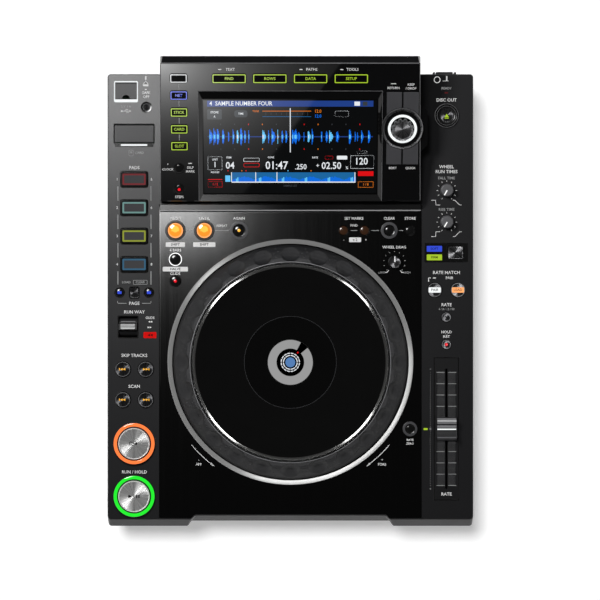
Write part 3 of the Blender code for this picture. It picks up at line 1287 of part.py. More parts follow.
def inlet_across():
    """Where the mains inlet stands, inside the rear wall's right end."""
    return HALF_WIDTH - REAR_NOTCH_RIGHT_INSET - INLET_INSET


def rear_openings(grow):
    """Cutters through the rear wall round each socket."""
    shapes = []
    for kind, across, width, height, centre in rear_sockets():
        if kind == "phono":
            shape = prism(circle(PHONO_RADIUS + grow, STEPS_TINY), -OVERRUN, OVERRUN)
            shape.transform(Matrix.Rotation(math.pi / 2, 4, "X"))
        else:
            shape = block(width + 2 * grow, 2 * OVERRUN, -height / 2 - grow, height / 2 + grow)
        shapes.append((shape, (across, CABINET_REAR, centre)))
    return shapes


def make_main_board():
    """The main board with its rear sockets and the supply block behind the mains inlet."""
    left, right, front, rear = board_span()
    plate = block(right - left, rear - front, BOARD_HEIGHT, BOARD_HEIGHT + BOARD_THICKNESS)
    board = node("main_board", plate, "circuit_board", ((left + right) / 2, (front + rear) / 2, 0))
    low = BOARD_HEIGHT + BOARD_THICKNESS - OVERLAP / 2
    wall = CABINET_REAR - CABINET_WALL - GAP
    bodies = []
    mouths = []
    for kind, across, width, height, centre in rear_sockets():
        if kind == "phono":
            body, mouth = phono_jack(wall, low, centre)
        else:
            body, mouth = square_socket(wall, low, width, height, centre)
        bodies += [placed(shape, (across, 0, 0)) for shape in body]
        mouths.append(placed(mouth, (across, 0, 0)))
    supply = block(SUPPLY_WIDTH, SUPPLY_DEPTH, low, low + SUPPLY_HEIGHT)
    supply_rear = wall - JACK_BODY_DEPTH + OVERLAP
    bodies.append(placed(supply, (inlet_across(), supply_rear - SUPPLY_DEPTH / 2, 0)))
    for body in bodies:
        shape_with(board, body, "UNION")
    shape_with(board, gathered(mouths), "DIFFERENCE")


def phono_jack(wall, low, centre):
    """A phono socket's block and barrel, and the cutter for its bore."""
    stand = Matrix.Rotation(-math.pi / 2, 4, "X")
    start = wall - OVERLAP
    end = CABINET_REAR + JACK_REACH
    body = placed(block(PHONO_BODY_WIDTH, JACK_BODY_DEPTH, low, centre + PHONO_BODY_WIDTH / 2),
                  (0, wall - JACK_BODY_DEPTH / 2, 0))
    barrel = placed(prism(circle(PHONO_RADIUS, STEPS_TINY), 0, end - start), (0, start, centre), stand)
    bore = prism(circle(PHONO_BORE_RADIUS, STEPS_TINY), 0, OVERRUN)
    bore = placed(bore, (0, end - OVERRUN + OVERLAP, centre), stand)
    return [body, barrel], bore


def square_socket(wall, low, width, height, centre):
    """A socket that stands on the board inside the wall and shows only its mouth, and that mouth."""
    front = wall - JACK_BODY_DEPTH
    outside = CABINET_REAR + SOCKET_LIP
    bottom = centre - height / 2
    top = centre + height / 2
    profile = [(front, low), (wall, low), (wall, bottom), (outside, bottom), (outside, top), (front, top)]
    mouth = block(width - 2 * SOCKET_WALL, outside - front, bottom + SOCKET_WALL, top - SOCKET_WALL)
    mouth = placed(mouth, (0, (outside + front) / 2 + 2 * SOCKET_WALL, 0))
    return [side_prism(profile, width / 2)], mouth


def make_drive():
    """The slot drive: a sheet channel on legs, its turntable and its loading roller."""
    front = -HALF_DEPTH + DRIVE_FRONT_INSET
    middle = front + DRIVE_DEPTH / 2
    base = DRIVE_BASE_HEIGHT
    wall_top = base + DRIVE_WALL_RISE
    solid = block(DRIVE_WIDTH, DRIVE_DEPTH, base, wall_top)
    channel = node("drive_frame", solid, "drive_steel", (0, middle, 0))
    hollow = block(DRIVE_WIDTH - 2 * DRIVE_SHEET, DRIVE_DEPTH, base + DRIVE_SHEET, wall_top + OVERRUN)
    shape_with(channel, hollow, "DIFFERENCE", (0, middle - DRIVE_SHEET, 0))
    leg_x = (DRIVE_WIDTH - DRIVE_LEG_WIDTH) / 2
    leg_y = (DRIVE_DEPTH - DRIVE_LEG_WIDTH) / 2
    foot = FLOOR_HEIGHT + GAP
    fixed = [
        placed(block(DRIVE_LEG_WIDTH, DRIVE_LEG_WIDTH, foot, base + OVERLAP), (x, middle + y, 0))
        for x in (-leg_x, leg_x)
        for y in (-leg_y, leg_y)
    ]
    motor = prism(circle(MOTOR_RADIUS, STEPS_SMALL), base - MOTOR_LENGTH, base + OVERLAP)
    fixed.append(placed(motor, (0, middle, 0)))
    shape_with(channel, gathered(fixed), "UNION")
    roller_y = front + ROLLER_INSET
    roller_z = DISC_HEIGHT - GAP - ROLLER_RADIUS
    across = Matrix.Rotation(math.pi / 2, 4, "Y")
    pins = prism(circle(ROLLER_PIN_RADIUS + GAP, STEPS_TINY), -DRIVE_WIDTH, DRIVE_WIDTH)
    window = block(PICKUP_WINDOW_WIDTH, PICKUP_WINDOW_DEPTH, base - OVERLAP, base + OVERRUN)
    shaft = prism(circle(SPINDLE_SHAFT_RADIUS + GAP, STEPS_SMALL), base - OVERRUN, base + OVERRUN)
    shape_with(channel, gathered([
        placed(pins, (0, roller_y, roller_z), across),
        placed(window, (MOTOR_RADIUS + PICKUP_WINDOW_WIDTH / 2 + OVERLAP, middle, 0)),
        placed(shaft, (0, middle, 0)),
    ]), "DIFFERENCE")

    half = DRIVE_WIDTH / 2
    body = half - DRIVE_SHEET - RUNNING_GAP
    roller = turned([
        (0, half), (ROLLER_PIN_RADIUS, half), (ROLLER_PIN_RADIUS, body), (ROLLER_RADIUS, body),
        (ROLLER_RADIUS, -body), (ROLLER_PIN_RADIUS, -body), (ROLLER_PIN_RADIUS, -half), (0, -half),
    ], STEPS_TINY)
    roller.transform(across)
    node("loading_roller", roller, "grip_rubber", (0, roller_y, roller_z))
    seat = DISC_HEIGHT - GAP
    node("spindle_turntable", turned([
        (0, seat + HUB_RISE), (HUB_RADIUS - CAP_CHAMFER, seat + HUB_RISE), (HUB_RADIUS, seat),
        (SPINDLE_RADIUS, seat), (SPINDLE_RADIUS, seat - TURNTABLE_THICKNESS),
        (SPINDLE_SHAFT_RADIUS, seat - TURNTABLE_THICKNESS),
        (SPINDLE_SHAFT_RADIUS, seat - SPINDLE_SHAFT_LENGTH), (0, seat - SPINDLE_SHAFT_LENGTH),
    ], STEPS_SMALL), "black_key", (0, middle, 0))


def main():
    """Clears the scene and makes every piece."""
    for old in list(bpy.data.objects):
        bpy.data.objects.remove(old)
    face = bpy.data.objects.new("tilted face", None)
    face.location = (0, HOUSING_FRONT, HOUSING_FRONT_HEIGHT)
    face.rotation_euler = (HOUSING_TILT, 0, 0)
    bpy.context.scene.collection.objects.link(face)
    make_chassis()
    make_main_board()
    make_drive()
    make_media_board()
    make_cabinet()
    make_deck()
    make_jog()
    make_doors()
    make_buttons()
    make_knobs()
    make_lever()
    make_fader()
    make_switch()
    make_housing(face)
    make_screen(face)
    make_face_keys(face)
    make_selector(face)


main()
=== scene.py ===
"""Looks of a tabletop disc player for a music booth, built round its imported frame.

Sizes and places here are in millimetres, in the frame of the solids. Form.make turns
them into metres. Every piece keeps its own origin at the frame's origin.
"""

import json
import logging
import math
import random
from dataclasses import dataclass, field
from enum import Enum, IntEnum
from typing import Sequence

import bmesh
import bpy
from mathutils import Matrix, Vector

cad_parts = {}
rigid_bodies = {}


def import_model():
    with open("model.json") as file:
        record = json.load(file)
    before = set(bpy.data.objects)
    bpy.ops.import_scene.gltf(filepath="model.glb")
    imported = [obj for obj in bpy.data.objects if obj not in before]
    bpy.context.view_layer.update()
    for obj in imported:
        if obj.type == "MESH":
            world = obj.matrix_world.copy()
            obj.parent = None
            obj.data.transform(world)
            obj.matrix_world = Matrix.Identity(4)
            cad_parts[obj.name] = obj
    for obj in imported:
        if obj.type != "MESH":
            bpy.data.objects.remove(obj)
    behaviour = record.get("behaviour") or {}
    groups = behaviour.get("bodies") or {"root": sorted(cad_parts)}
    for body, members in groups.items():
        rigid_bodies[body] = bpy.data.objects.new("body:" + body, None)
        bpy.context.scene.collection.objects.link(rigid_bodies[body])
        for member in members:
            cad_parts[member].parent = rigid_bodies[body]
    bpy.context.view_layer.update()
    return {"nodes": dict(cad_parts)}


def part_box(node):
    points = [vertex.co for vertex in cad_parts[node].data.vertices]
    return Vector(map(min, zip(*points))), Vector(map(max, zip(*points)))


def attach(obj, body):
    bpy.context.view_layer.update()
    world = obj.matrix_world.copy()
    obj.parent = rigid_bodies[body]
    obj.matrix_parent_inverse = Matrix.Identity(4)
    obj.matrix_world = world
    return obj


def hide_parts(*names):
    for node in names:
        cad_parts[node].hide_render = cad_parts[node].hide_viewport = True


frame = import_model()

LOG = logging.getLogger("disc_player")

Colour = tuple[float, float, float]
Spot = tuple[float, float]
Outline = list[Spot]
Levels = Sequence[tuple[Outline, float]]

MM = 0.001
DECK_TOP = 72.0
FACE_FRONT = (0.0, 79.6, 82.2)
FACE_TILT = math.atan2(35.8, 117.1)
ROUND_STEPS = 48
FINE_STEPS = 96
INK_LOW = -0.02
INK_HIGH = 0.04

DECK = Matrix.Translation((0, 0, DECK_TOP))
FACE = Matrix.Translation(FACE_FRONT) @ Matrix.Rotation(FACE_TILT, 4, "X")


def screen_colour(red: int, green: int, blue: int) -> Colour:
    """Turns a colour as seen on a screen into the linear values that shaders use.

    Args:
        red: Red from 0 to 255.
        green: Green from 0 to 255.
        blue: Blue from 0 to 255.

    Returns:
        The three linear values.
    """
    def linear(value: int) -> float:
        """One channel's linear value."""
        share = value / 255
        return share / 12.92 if share <= 0.04045 else ((share + 0.055) / 1.055) ** 2.4

    return linear(red), linear(green), linear(blue)


def feed(tree: bpy.types.NodeTree, node: bpy.types.Node, inputs: dict) -> None:
    """Feeds a node's inputs with values, or with the sockets of other nodes.

    Args:
        tree: The tree that the node stands in.
        node: The node.
        inputs: A value or a socket for each input that is fed, by its name or number.
    """
    for name, value in inputs.items():
        if isinstance(value, bpy.types.NodeSocket):
            tree.links.new(value, node.inputs[name])
        else:
            node.inputs[name].default_value = value


def wired(tree: bpy.types.NodeTree, kind: str, inputs: dict, operation: str = "") -> bpy.types.Node:
    """Adds a node and feeds its inputs.

    Args:
        tree: The tree that it stands in.
        kind: The node's type.
        inputs: A value or a socket for each input that is fed, by its name or number.
        operation: What a mathematical node does.

    Returns:
        The node.
    """
    made = tree.nodes.new(kind)
    if operation:
        made.operation = operation
    feed(tree, made, inputs)
    return made


class Surface(Enum):
    """What a finish is like close up, and the shader group that makes it."""

    MOULDED = "moulded_grain"
    BRUSHED = "straight_brushing"
    TURNED = "turned_grooves"
    RUBBER = "rubber_pores"
    POLISHED = "handling_film"


class ShaderGroups:
    """Builds the shared shader groups once, each with a Mask and a Height that vary over the surface."""

    @staticmethod
    def named(surface: Surface) -> bpy.types.NodeTree:
        """The group of one kind of surface, made when first asked for.

        Args:
            surface: The kind of surface.

        Returns:
            The node group, with the input Scale and the outputs Mask and Height.
        """
        found = bpy.data.node_groups.get(surface.value)
        if found:
            return found
        tree = bpy.data.node_groups.new(surface.value, "ShaderNodeTree")
        scale = tree.interface.new_socket("Scale", in_out="INPUT", socket_type="NodeSocketFloat")
        scale.default_value = 1.0
        for label in ("Mask", "Height"):
            tree.interface.new_socket(label, in_out="OUTPUT", socket_type="NodeSocketFloat")
        entry = tree.nodes.new("NodeGroupInput")
        leave = tree.nodes.new("NodeGroupOutput")
        maker = {
            Surface.MOULDED: ShaderGroups._moulded,
            Surface.BRUSHED: ShaderGroups._brushed,
            Surface.TURNED: ShaderGroups._turned,
            Surface.RUBBER: ShaderGroups._rubber,
            Surface.POLISHED: ShaderGroups._polished,
        }[surface]
        mask, height = maker(tree, entry.outputs["Scale"])
        tree.links.new(mask, leave.inputs["Mask"])
        tree.links.new(height, leave.inputs["Height"])
        return tree

    @staticmethod
    def _math(tree: bpy.types.NodeTree, operation: str, first: object, second: object) -> bpy.types.NodeSocket:
        """The output of a math node that works on sockets or plain numbers."""
        return wired(tree, "ShaderNodeMath", {0: first, 1: second}, operation).outputs["Value"]

    @staticmethod
    def _blend(tree: bpy.types.NodeTree, first: bpy.types.NodeSocket, second: bpy.types.NodeSocket,
               share: float) -> bpy.types.NodeSocket:
        """A share of the first value and the rest of the second."""
        return ShaderGroups._math(tree, "ADD", ShaderGroups._math(tree, "MULTIPLY", first, share),
                                  ShaderGroups._math(tree, "MULTIPLY", second, 1 - share))

    @staticmethod
    def _noise(tree: bpy.types.NodeTree, scale: bpy.types.NodeSocket, times: float = 1.0, detail: float = 2.0,
               stretch: Colour = (1.0, 1.0, 1.0)) -> bpy.types.NodeSocket:
        """A noise texture over the piece's own metres, with stretched axes.

        Args:
            tree: The tree that the nodes stand in.
            scale: The socket of the group's scale.
            times: How fine the noise is at a scale of one.
            detail: The texture's detail.
            stretch: How much each axis is multiplied.

        Returns:
            The noise value's socket.
        """
        place = tree.nodes.new("ShaderNodeTexCoord").outputs["Object"]
        spread = wired(tree, "ShaderNodeVectorMath", {0: place, 1: stretch}, "MULTIPLY")
        return wired(tree, "ShaderNodeTexNoise", {
            "Vector": spread.outputs["Vector"], "Detail": detail,
            "Scale": ShaderGroups._math(tree, "MULTIPLY", scale, times)}).outputs["Fac"]

    @staticmethod
    def _moulded(tree: bpy.types.NodeTree, scale: bpy.types.NodeSocket) -> tuple:
        """Fine grain of spark-eroded plastic, with slow changes of tone."""
        fine, slow = (ShaderGroups._noise(tree, scale, times) for times in (2600.0, 14.0))
        return ShaderGroups._blend(tree, fine, slow, 0.6), fine

    @staticmethod
    def _brushed(tree: bpy.types.NodeTree, scale: bpy.types.NodeSocket) -> tuple:
        """Straight brush lines along Y: fine ones and broader streaks."""
        fine = ShaderGroups._noise(tree, scale, detail=3.0, stretch=(2400.0, 14.0, 90.0))
        broad = ShaderGroups._noise(tree, scale, detail=2.0, stretch=(900.0, 2.2, 60.0))
        return ShaderGroups._blend(tree, fine, broad, 0.55), fine

    @staticmethod
    def _turned(tree: bpy.types.NodeTree, scale: bpy.types.NodeSocket) -> tuple:
        """Rings cut by a lathe about the middle of the piece's box."""
        box = tree.nodes.new("ShaderNodeTexCoord")
        centred = wired(tree, "ShaderNodeVectorMath", {0: box.outputs["Generated"], 1: (0.5, 0.5, 0.0)}, "SUBTRACT")
        flat = wired(tree, "ShaderNodeVectorMath", {0: centred.outputs["Vector"], 1: (1.0, 1.0, 0.0)}, "MULTIPLY")
        radius = wired(tree, "ShaderNodeVectorMath", {0: flat.outputs["Vector"]}, "LENGTH")
        turn = wired(tree, "ShaderNodeTexGradient", {"Vector": flat.outputs["Vector"]})
        turn.gradient_type = "RADIAL"
        rings, streaks = (tree.nodes.new("ShaderNodeTexNoise") for _ in range(2))
        rings.noise_dimensions = streaks.noise_dimensions = "1D"
        along = ShaderGroups._math(tree, "MULTIPLY", radius.outputs["Value"],
                                   ShaderGroups._math(tree, "MULTIPLY", scale, 90.0))
        feed(tree, rings, {"Scale": 1.0, "W": along})
        feed(tree, streaks, {"Scale": 22.0, "W": turn.outputs["Fac"]})
        return streaks.outputs["Fac"], rings.outputs["Fac"]

    @staticmethod
    def _rubber(tree: bpy.types.NodeTree, scale: bpy.types.NodeSocket) -> tuple:
        """Soft pores and a faint bloom, as on moulded rubber."""
        pores = ShaderGroups._noise(tree, scale, 1500.0, 4.0)
        bloom = ShaderGroups._noise(tree, scale, 45.0)
        return ShaderGroups._blend(tree, pores, bloom, 0.5), pores

    @staticmethod
    def _polished(tree: bpy.types.NodeTree, scale: bpy.types.NodeSocket) -> tuple:
        """The faint film that handling leaves on a smooth surface."""
        return ShaderGroups._noise(tree, scale, 55.0, 5.0), ShaderGroups._noise(tree, scale, 900.0)


@dataclass(frozen=True)
class Finish:
    """One surface finish: its colour, its gloss, and what it is like close up."""

    name: str
    colour: Colour
    roughness: float
    surface: Surface = Surface.POLISHED
    metallic: float = 0.0
    variation: float = 0.12
    relief: float = 0.02
    coat: float = 0.0
    glow: float = 0.0
    anisotropy: float = 0.0
    specular: float = 0.5
    scale: float = 1.0

    def material(self) -> bpy.types.Material:
        """The Blender material of this finish, made when first asked for.

        Returns:
            The material.
        """
        found = bpy.data.materials.get(self.name)
        if found:
            return found
        made = bpy.data.materials.new(self.name)
        made.use_nodes = True
        tree = made.node_tree
        shader = tree.nodes["Principled BSDF"]
        group = tree.nodes.new("ShaderNodeGroup")
        group.node_tree = ShaderGroups.named(self.surface)
        group.inputs["Scale"].default_value = self.scale
        self._tint(tree, group, shader.inputs["Base Color"], 0.15 if self.glow else 1.0)
        gloss = wired(tree, "ShaderNodeMapRange", {
            "Value": group.outputs["Mask"], "From Min": 0.3, "From Max": 0.7,
            "To Min": self.roughness * (1 - self.variation),
            "To Max": min(1.0, self.roughness * (1 + self.variation))})
        bump = wired(tree, "ShaderNodeBump", {
            "Strength": 1.0, "Distance": self.relief * MM, "Height": group.outputs["Height"]})
        feed(tree, shader, {
            "Metallic": self.metallic, "Specular IOR Level": self.specular, "Coat Weight": self.coat,
            "Coat Roughness": 0.04, "Roughness": gloss.outputs["Result"], "Normal": bump.outputs["Normal"]})
        if self.glow:
            self._tint(tree, group, shader.inputs["Emission Color"], 1.0)
            shader.inputs["Emission Strength"].default_value = self.glow
        if self.anisotropy:
            shader.inputs["Anisotropic"].default_value = self.anisotropy
            tangent = tree.nodes.new("ShaderNodeTangent")
            tangent.direction_type = "RADIAL"
            tangent.axis = "Z" if self.surface is Surface.TURNED else "Y"
            tree.links.new(tangent.outputs["Tangent"], shader.inputs["Tangent"])
        made.diffuse_color = (*self.colour, 1.0)
        return made

    def _tint(self, tree: bpy.types.NodeTree, group: bpy.types.Node, socket: bpy.types.NodeSocket,
              level: float) -> None:
        """Feeds a colour socket with the finish's colour, a little darker and lighter by the mask.

        Args:
            tree: The material's tree.
            group: The shader group's node.
            socket: The colour socket to feed.
            level: A factor on the colour.
        """
        mix = tree.nodes.new("ShaderNodeMix")
        mix.data_type = "RGBA"
        dark = [level * value * (1 - self.variation) for value in self.colour]
        light = [min(1.0, level * value * (1 + self.variation)) for value in self.colour]
        for entry in mix.inputs:
            if entry.type == "RGBA" and entry.name in ("A", "B"):
                entry.default_value = (*(dark if entry.name == "A" else light), 1.0)
        tree.links.new(group.outputs["Mask"], mix.inputs["Factor"])
        tree.links.new(next(out for out in mix.outputs if out.type == "RGBA"), socket)


COLUMN_PLASTIC = Finish("column_plastic_grain", screen_colour(22, 22, 23), 0.38, Surface.MOULDED, relief=0.012,
                        variation=0.08, specular=0.24)
DECK_METAL = Finish("brushed_deck_sheet", screen_colour(43, 43, 43), 0.19, Surface.BRUSHED, 0.96,
                    variation=0.16, relief=0.0025)
DECK_EDGE = Finish("deck_edge_bright", screen_colour(60, 60, 60), 0.24, Surface.BRUSHED, 1.0, relief=0.001)
UPSTAND_SATIN = Finish("upstand_satin", screen_colour(30, 30, 30), 0.4, Surface.MOULDED, relief=0.002, specular=0.1)
HOUSING_GLOSS = Finish("housing_gloss", screen_colour(9, 9, 10), 0.02, variation=0.10, relief=0.0001)
REAR_STRIP = Finish("rear_strip_satin", screen_colour(26, 26, 27), 0.45, Surface.MOULDED, specular=0.0, relief=0.004)
FRAME_GLOSS = Finish("screen_frame_gloss", screen_colour(8, 8, 8), 0.04, specular=0.4, relief=0.0001)
BEVEL_METAL = Finish("bevel_satin", screen_colour(14, 14, 14), 0.17, Surface.MOULDED, relief=0.001,
                     specular=0.1)
PLATTER_GLOSS = Finish("platter_gloss", screen_colour(12, 12, 12), 0.12, specular=0.3, relief=0.0003)
WINDOW_BLACK = Finish("window_black", screen_colour(2, 2, 2), 0.03, specular=0.75, relief=0.0002)
RUBBER = Finish("grip_rubber_moulded", screen_colour(31, 31, 32), 0.48, Surface.RUBBER, relief=0.02)
GLOSS_KEY = Finish("gloss_black_key", screen_colour(10, 10, 10), 0.14, relief=0.0003)
KEY_LENS = Finish("key_lens_black", screen_colour(5, 5, 5), 0.25, specular=0.12, relief=0.0003)
KEY_PLASTIC = Finish("black_key_plastic", screen_colour(28, 28, 29), 0.35, Surface.MOULDED, relief=0.005)
DOOR_PLASTIC = Finish("door_plastic", screen_colour(26, 26, 27), 0.42, Surface.MOULDED, specular=0.14, relief=0.008)
FACE_TURNED = Finish("selector_turned_metal", screen_colour(128, 128, 130), 0.30, Surface.TURNED, 1.0,
                     variation=0.3, relief=0.0001, anisotropy=1.0)
FADER_FACE = Finish("fader_face_black", screen_colour(15, 15, 16), 0.4, Surface.MOULDED, specular=0.3, relief=0.004)
CORNER_KEY = Finish("corner_key_plastic", screen_colour(52, 52, 54), 0.24, relief=0.0006)
BLACK_RING = Finish("bezel_black", screen_colour(8, 8, 8), 0.2, relief=0.0003)
GREY_RING = Finish("bezel_grey", screen_colour(52, 52, 54), 0.35, Surface.MOULDED, relief=0.003)
TURNED_METAL = Finish("turned_metal", screen_colour(200, 200, 199), 0.30, Surface.TURNED, 0.74, variation=0.34,
                      relief=0.0001, anisotropy=1.0)
NIGHT_TURNED = Finish("black_turned_metal", screen_colour(104, 104, 106), 0.30, Surface.TURNED, 1.0,
                      variation=0.3, relief=0.0001, anisotropy=1.0)
AMBER_UNLIT = Finish("amber_key_unlit", screen_colour(44, 26, 15), 0.14, relief=0.0003)
DARK_TURNED = Finish("dark_turned_metal", screen_colour(128, 128, 130), 0.30, Surface.TURNED, 1.0,
                     variation=0.3, relief=0.0001, anisotropy=1.0)
SILVER = Finish("silver_edge", screen_colour(222, 222, 220), 0.14, metallic=1.0, relief=0.0002)
RIM_WHITE = Finish("bright_rim", screen_colour(232, 232, 231), 0.3, metallic=0.35, relief=0.0004)
# Light grey painted as the highlight where the deck plate bends up.
BEND_HIGHLIGHT_GREY = Finish("line_grey", screen_colour(158, 158, 159), 0.4, metallic=0.1, relief=0.0005, specular=0.2)
DIM_INK = Finish("dim_ink", screen_colour(86, 86, 87), 0.6, relief=0.0005, variation=0.05, specular=0.2)
# Grey for bright trim lines, also painted as highlights on the face's edges, the rear ridge and the fader cap's slopes.
TRIM_AND_SHEEN_GREY = Finish("edge_grey", screen_colour(116, 116, 118), 0.3, metallic=0.2, relief=0.0005)
KNURLED = Finish("knurled_silver", screen_colour(205, 205, 204), 0.25, Surface.MOULDED, 0.70, relief=0.0015)
# Knob grey, also painted as a dim highlight on the fader cap's front crest.
KNOB_GREY_AND_SHEEN = Finish("knob_grey", screen_colour(78, 78, 80), 0.34, Surface.MOULDED, 0.2, relief=0.004)
STEEL_PAINT = Finish("painted_steel_tray", screen_colour(46, 46, 48), 0.45, Surface.MOULDED, 0.2, relief=0.015)
BARE_STEEL = Finish("bare_steel", screen_colour(176, 178, 180), 0.32, Surface.BRUSHED, 1.0, relief=0.002)
SOLDER_MASK = Finish("board_lacquer", (0.02, 0.11, 0.04), 0.35, relief=0.004)
SOCKET_BLACK = Finish("socket_black", screen_colour(19, 19, 20), 0.4, Surface.MOULDED, relief=0.004)
PHONO_COLOURS = (Finish("phono_orange", screen_colour(196, 96, 30), 0.4),
                 Finish("phono_white", screen_colour(222, 222, 218), 0.4),
                 Finish("phono_red", screen_colour(178, 26, 26), 0.4))
DRIVE_BLACK = Finish("drive_plastic", screen_colour(26, 26, 27), 0.5, Surface.MOULDED)
WHITE_INK = Finish("white_ink", screen_colour(236, 236, 236), 0.6, relief=0.0005, variation=0.04, specular=0.2)
# Grey print, also painted as the highlight on the fader cap's rear crest.
GREY_INK_AND_SHEEN = Finish("grey_ink", screen_colour(160, 161, 161), 0.6, relief=0.0005, variation=0.05, specular=0.2)
DARK_INK = Finish("dark_ink", screen_colour(20, 20, 20), 0.6, relief=0.0005, variation=0.05, specular=0.2)
RED_INK = Finish("red_ink", screen_colour(222, 22, 20), 0.5, relief=0.0005, variation=0.05, specular=0.2)


def lamp(name: str, red: int, green: int, blue: int, glow: float = 1.0) -> Finish:
    """A lit lens of one colour.

    Args:
        name: The finish's name.
        red: Red from 0 to 255, as seen.
        green: Green from 0 to 255, as seen.
        blue: Blue from 0 to 255, as seen.
        glow: How strongly it shines.

    Returns:
        The finish.
    """
    return Finish(name, screen_colour(red, green, blue), 0.03, variation=0.05, relief=0.0002, glow=glow, specular=0.85)


LIT_WHITE = lamp("lit_white", 240, 244, 244)
LIT_ORANGE = lamp("lit_orange", 255, 124, 62)
LIT_AMBER = lamp("lit_amber", 255, 168, 104)
AMBER_MID = lamp("lit_amber_middle", 255, 144, 42)
AMBER_CORE = lamp("lit_amber_core", 255, 192, 76)
AMBER_SIGN = lamp("lit_amber_sign", 250, 182, 66)
LIT_GREEN = lamp("lit_green", 34, 226, 46)
LIT_LIME = lamp("lit_lime", 160, 192, 44)
LIT_RED = lamp("lit_red", 226, 16, 34)
LIT_BLUE = lamp("lit_blue", 50, 74, 206)
DIM_RED = lamp("dim_red", 104, 40, 44)
DIM_TEAL = lamp("dim_teal", 98, 132, 128)
DIM_LIME = lamp("dim_lime", 128, 136, 50)
DIM_BLUE = lamp("dim_blue", 50, 86, 110)
DIM_DARK = lamp("dim_inside", 70, 70, 72, 0.6)
SCREEN_DARK = lamp("screen_dark", 3, 4, 5)
SCREEN_BLUE = lamp("screen_blue", 28, 58, 128)
SCREEN_WAVE = lamp("screen_wave", 10, 104, 222)
SCREEN_CYAN = lamp("screen_cyan", 96, 190, 240)
SCREEN_STRIP = lamp("screen_strip", 24, 96, 150)
SCREEN_GREY = lamp("screen_grey", 52, 56, 60)
SCREEN_WHITE = lamp("screen_white", 222, 226, 230)
SCREEN_RED = lamp("screen_red", 210, 10, 16)
SCREEN_ORANGE = lamp("screen_orange", 214, 112, 22)


def polar(centre: Spot, radius: float, angle: float) -> Spot:
    """The point at a radius and an angle in radians from a centre."""
    return centre[0] + radius * math.cos(angle), centre[1] + radius * math.sin(angle)


def circle(radius: float, steps: int = ROUND_STEPS, centre: Spot = (0.0, 0.0), turn: float = 0.0) -> Outline:
    """Points round a circle, anticlockwise from an angle in radians."""
    return [polar(centre, radius, math.tau * step / steps + turn) for step in range(steps)]


def dome(radius: float, foot: float, rise: float) -> Outline:
    """The upper part of a domed cap's profile, as (radius, height) points up to the axis."""
    angles = [math.pi / 2 * step / 8 for step in range(1, 8)]
    return [(radius * math.cos(a), foot + rise * math.sin(a)) for a in angles] + [(0.0, foot + rise)]


def oblong(left: float, right: float, low: float, high: float) -> Outline:
    """The outline of a sharp rectangle."""
    return [(left, low), (right, low), (right, high), (left, high)]


def rounded(width: float, depth: float, corner: float, centre: Spot = (0.0, 0.0), steps: int = 5) -> Outline:
    """Points round a rectangle with round corners.

    Args:
        width: Size along x.
        depth: Size along y.
        corner: The corners' radius.
        centre: The rectangle's centre.
        steps: Steps in each corner.

    Returns:
        The points, anticlockwise.
    """
    corner = max(corner, 0.01)
    points: Outline = []
    for quarter, (side, end) in enumerate(((1, 1), (-1, 1), (-1, -1), (1, -1))):
        middle = (centre[0] + side * (width / 2 - corner), centre[1] + end * (depth / 2 - corner))
        for step in range(steps + 1):
            angle = math.pi / 2 * (quarter + step / steps)
            points.append(polar(middle, corner, angle))
    return points


def grown(outline: Outline, by: float) -> Outline:
    """An anticlockwise outline moved outwards by a distance, or inwards by a negative one.

    Args:
        outline: The outline.
        by: How far each side moves.

    Returns:
        The moved outline, with as many points.
    """
    moved: Outline = []
    count = len(outline)
    for here in range(count):
        before, point, after = (Vector(outline[(here + step) % count]) for step in (-1, 0, 1))
        first, second = (point - before), (after - point)
        if first.length < 1e-9 or second.length < 1e-9:
            moved.append(tuple(point))
            continue
        normals = [Vector((edge.y, -edge.x)).normalized() for edge in (first, second)]
        middle = (normals[0] + normals[1]).normalized()
        reach = by / max(0.35, middle.dot(normals[0]))
        moved.append((point.x + middle.x * reach, point.y + middle.y * reach))
    return moved


def sector(outer: float, inner: float, start: float, stop: float, centre: Spot = (0.0, 0.0),
           steps: int = 24) -> Outline:
    """The outline of a piece of a ring.

    Args:
        outer: The outer radius.
        inner: The inner radius.
        start: The first angle in degrees.
        stop: The last angle in degrees.
        centre: The ring's centre.
        steps: Steps along the arc.

    Returns:
        The outline, anticlockwise.
    """
    angles = [math.radians(start + (stop - start) * step / steps) for step in range(steps + 1)]
    return [polar(centre, outer, a) for a in angles] + [polar(centre, inner, a) for a in reversed(angles)]


def bar(start: Spot, end: Spot, width: float) -> Outline:
    """The outline of a straight bar between two points."""
    along = (Vector(end) - Vector(start)).normalized()
    side = Vector((along.y, -along.x)) * width / 2
    corners = (Vector(start) + side, Vector(end) + side, Vector(end) - side, Vector(start) - side)
    return [tuple(corner) for corner in corners]


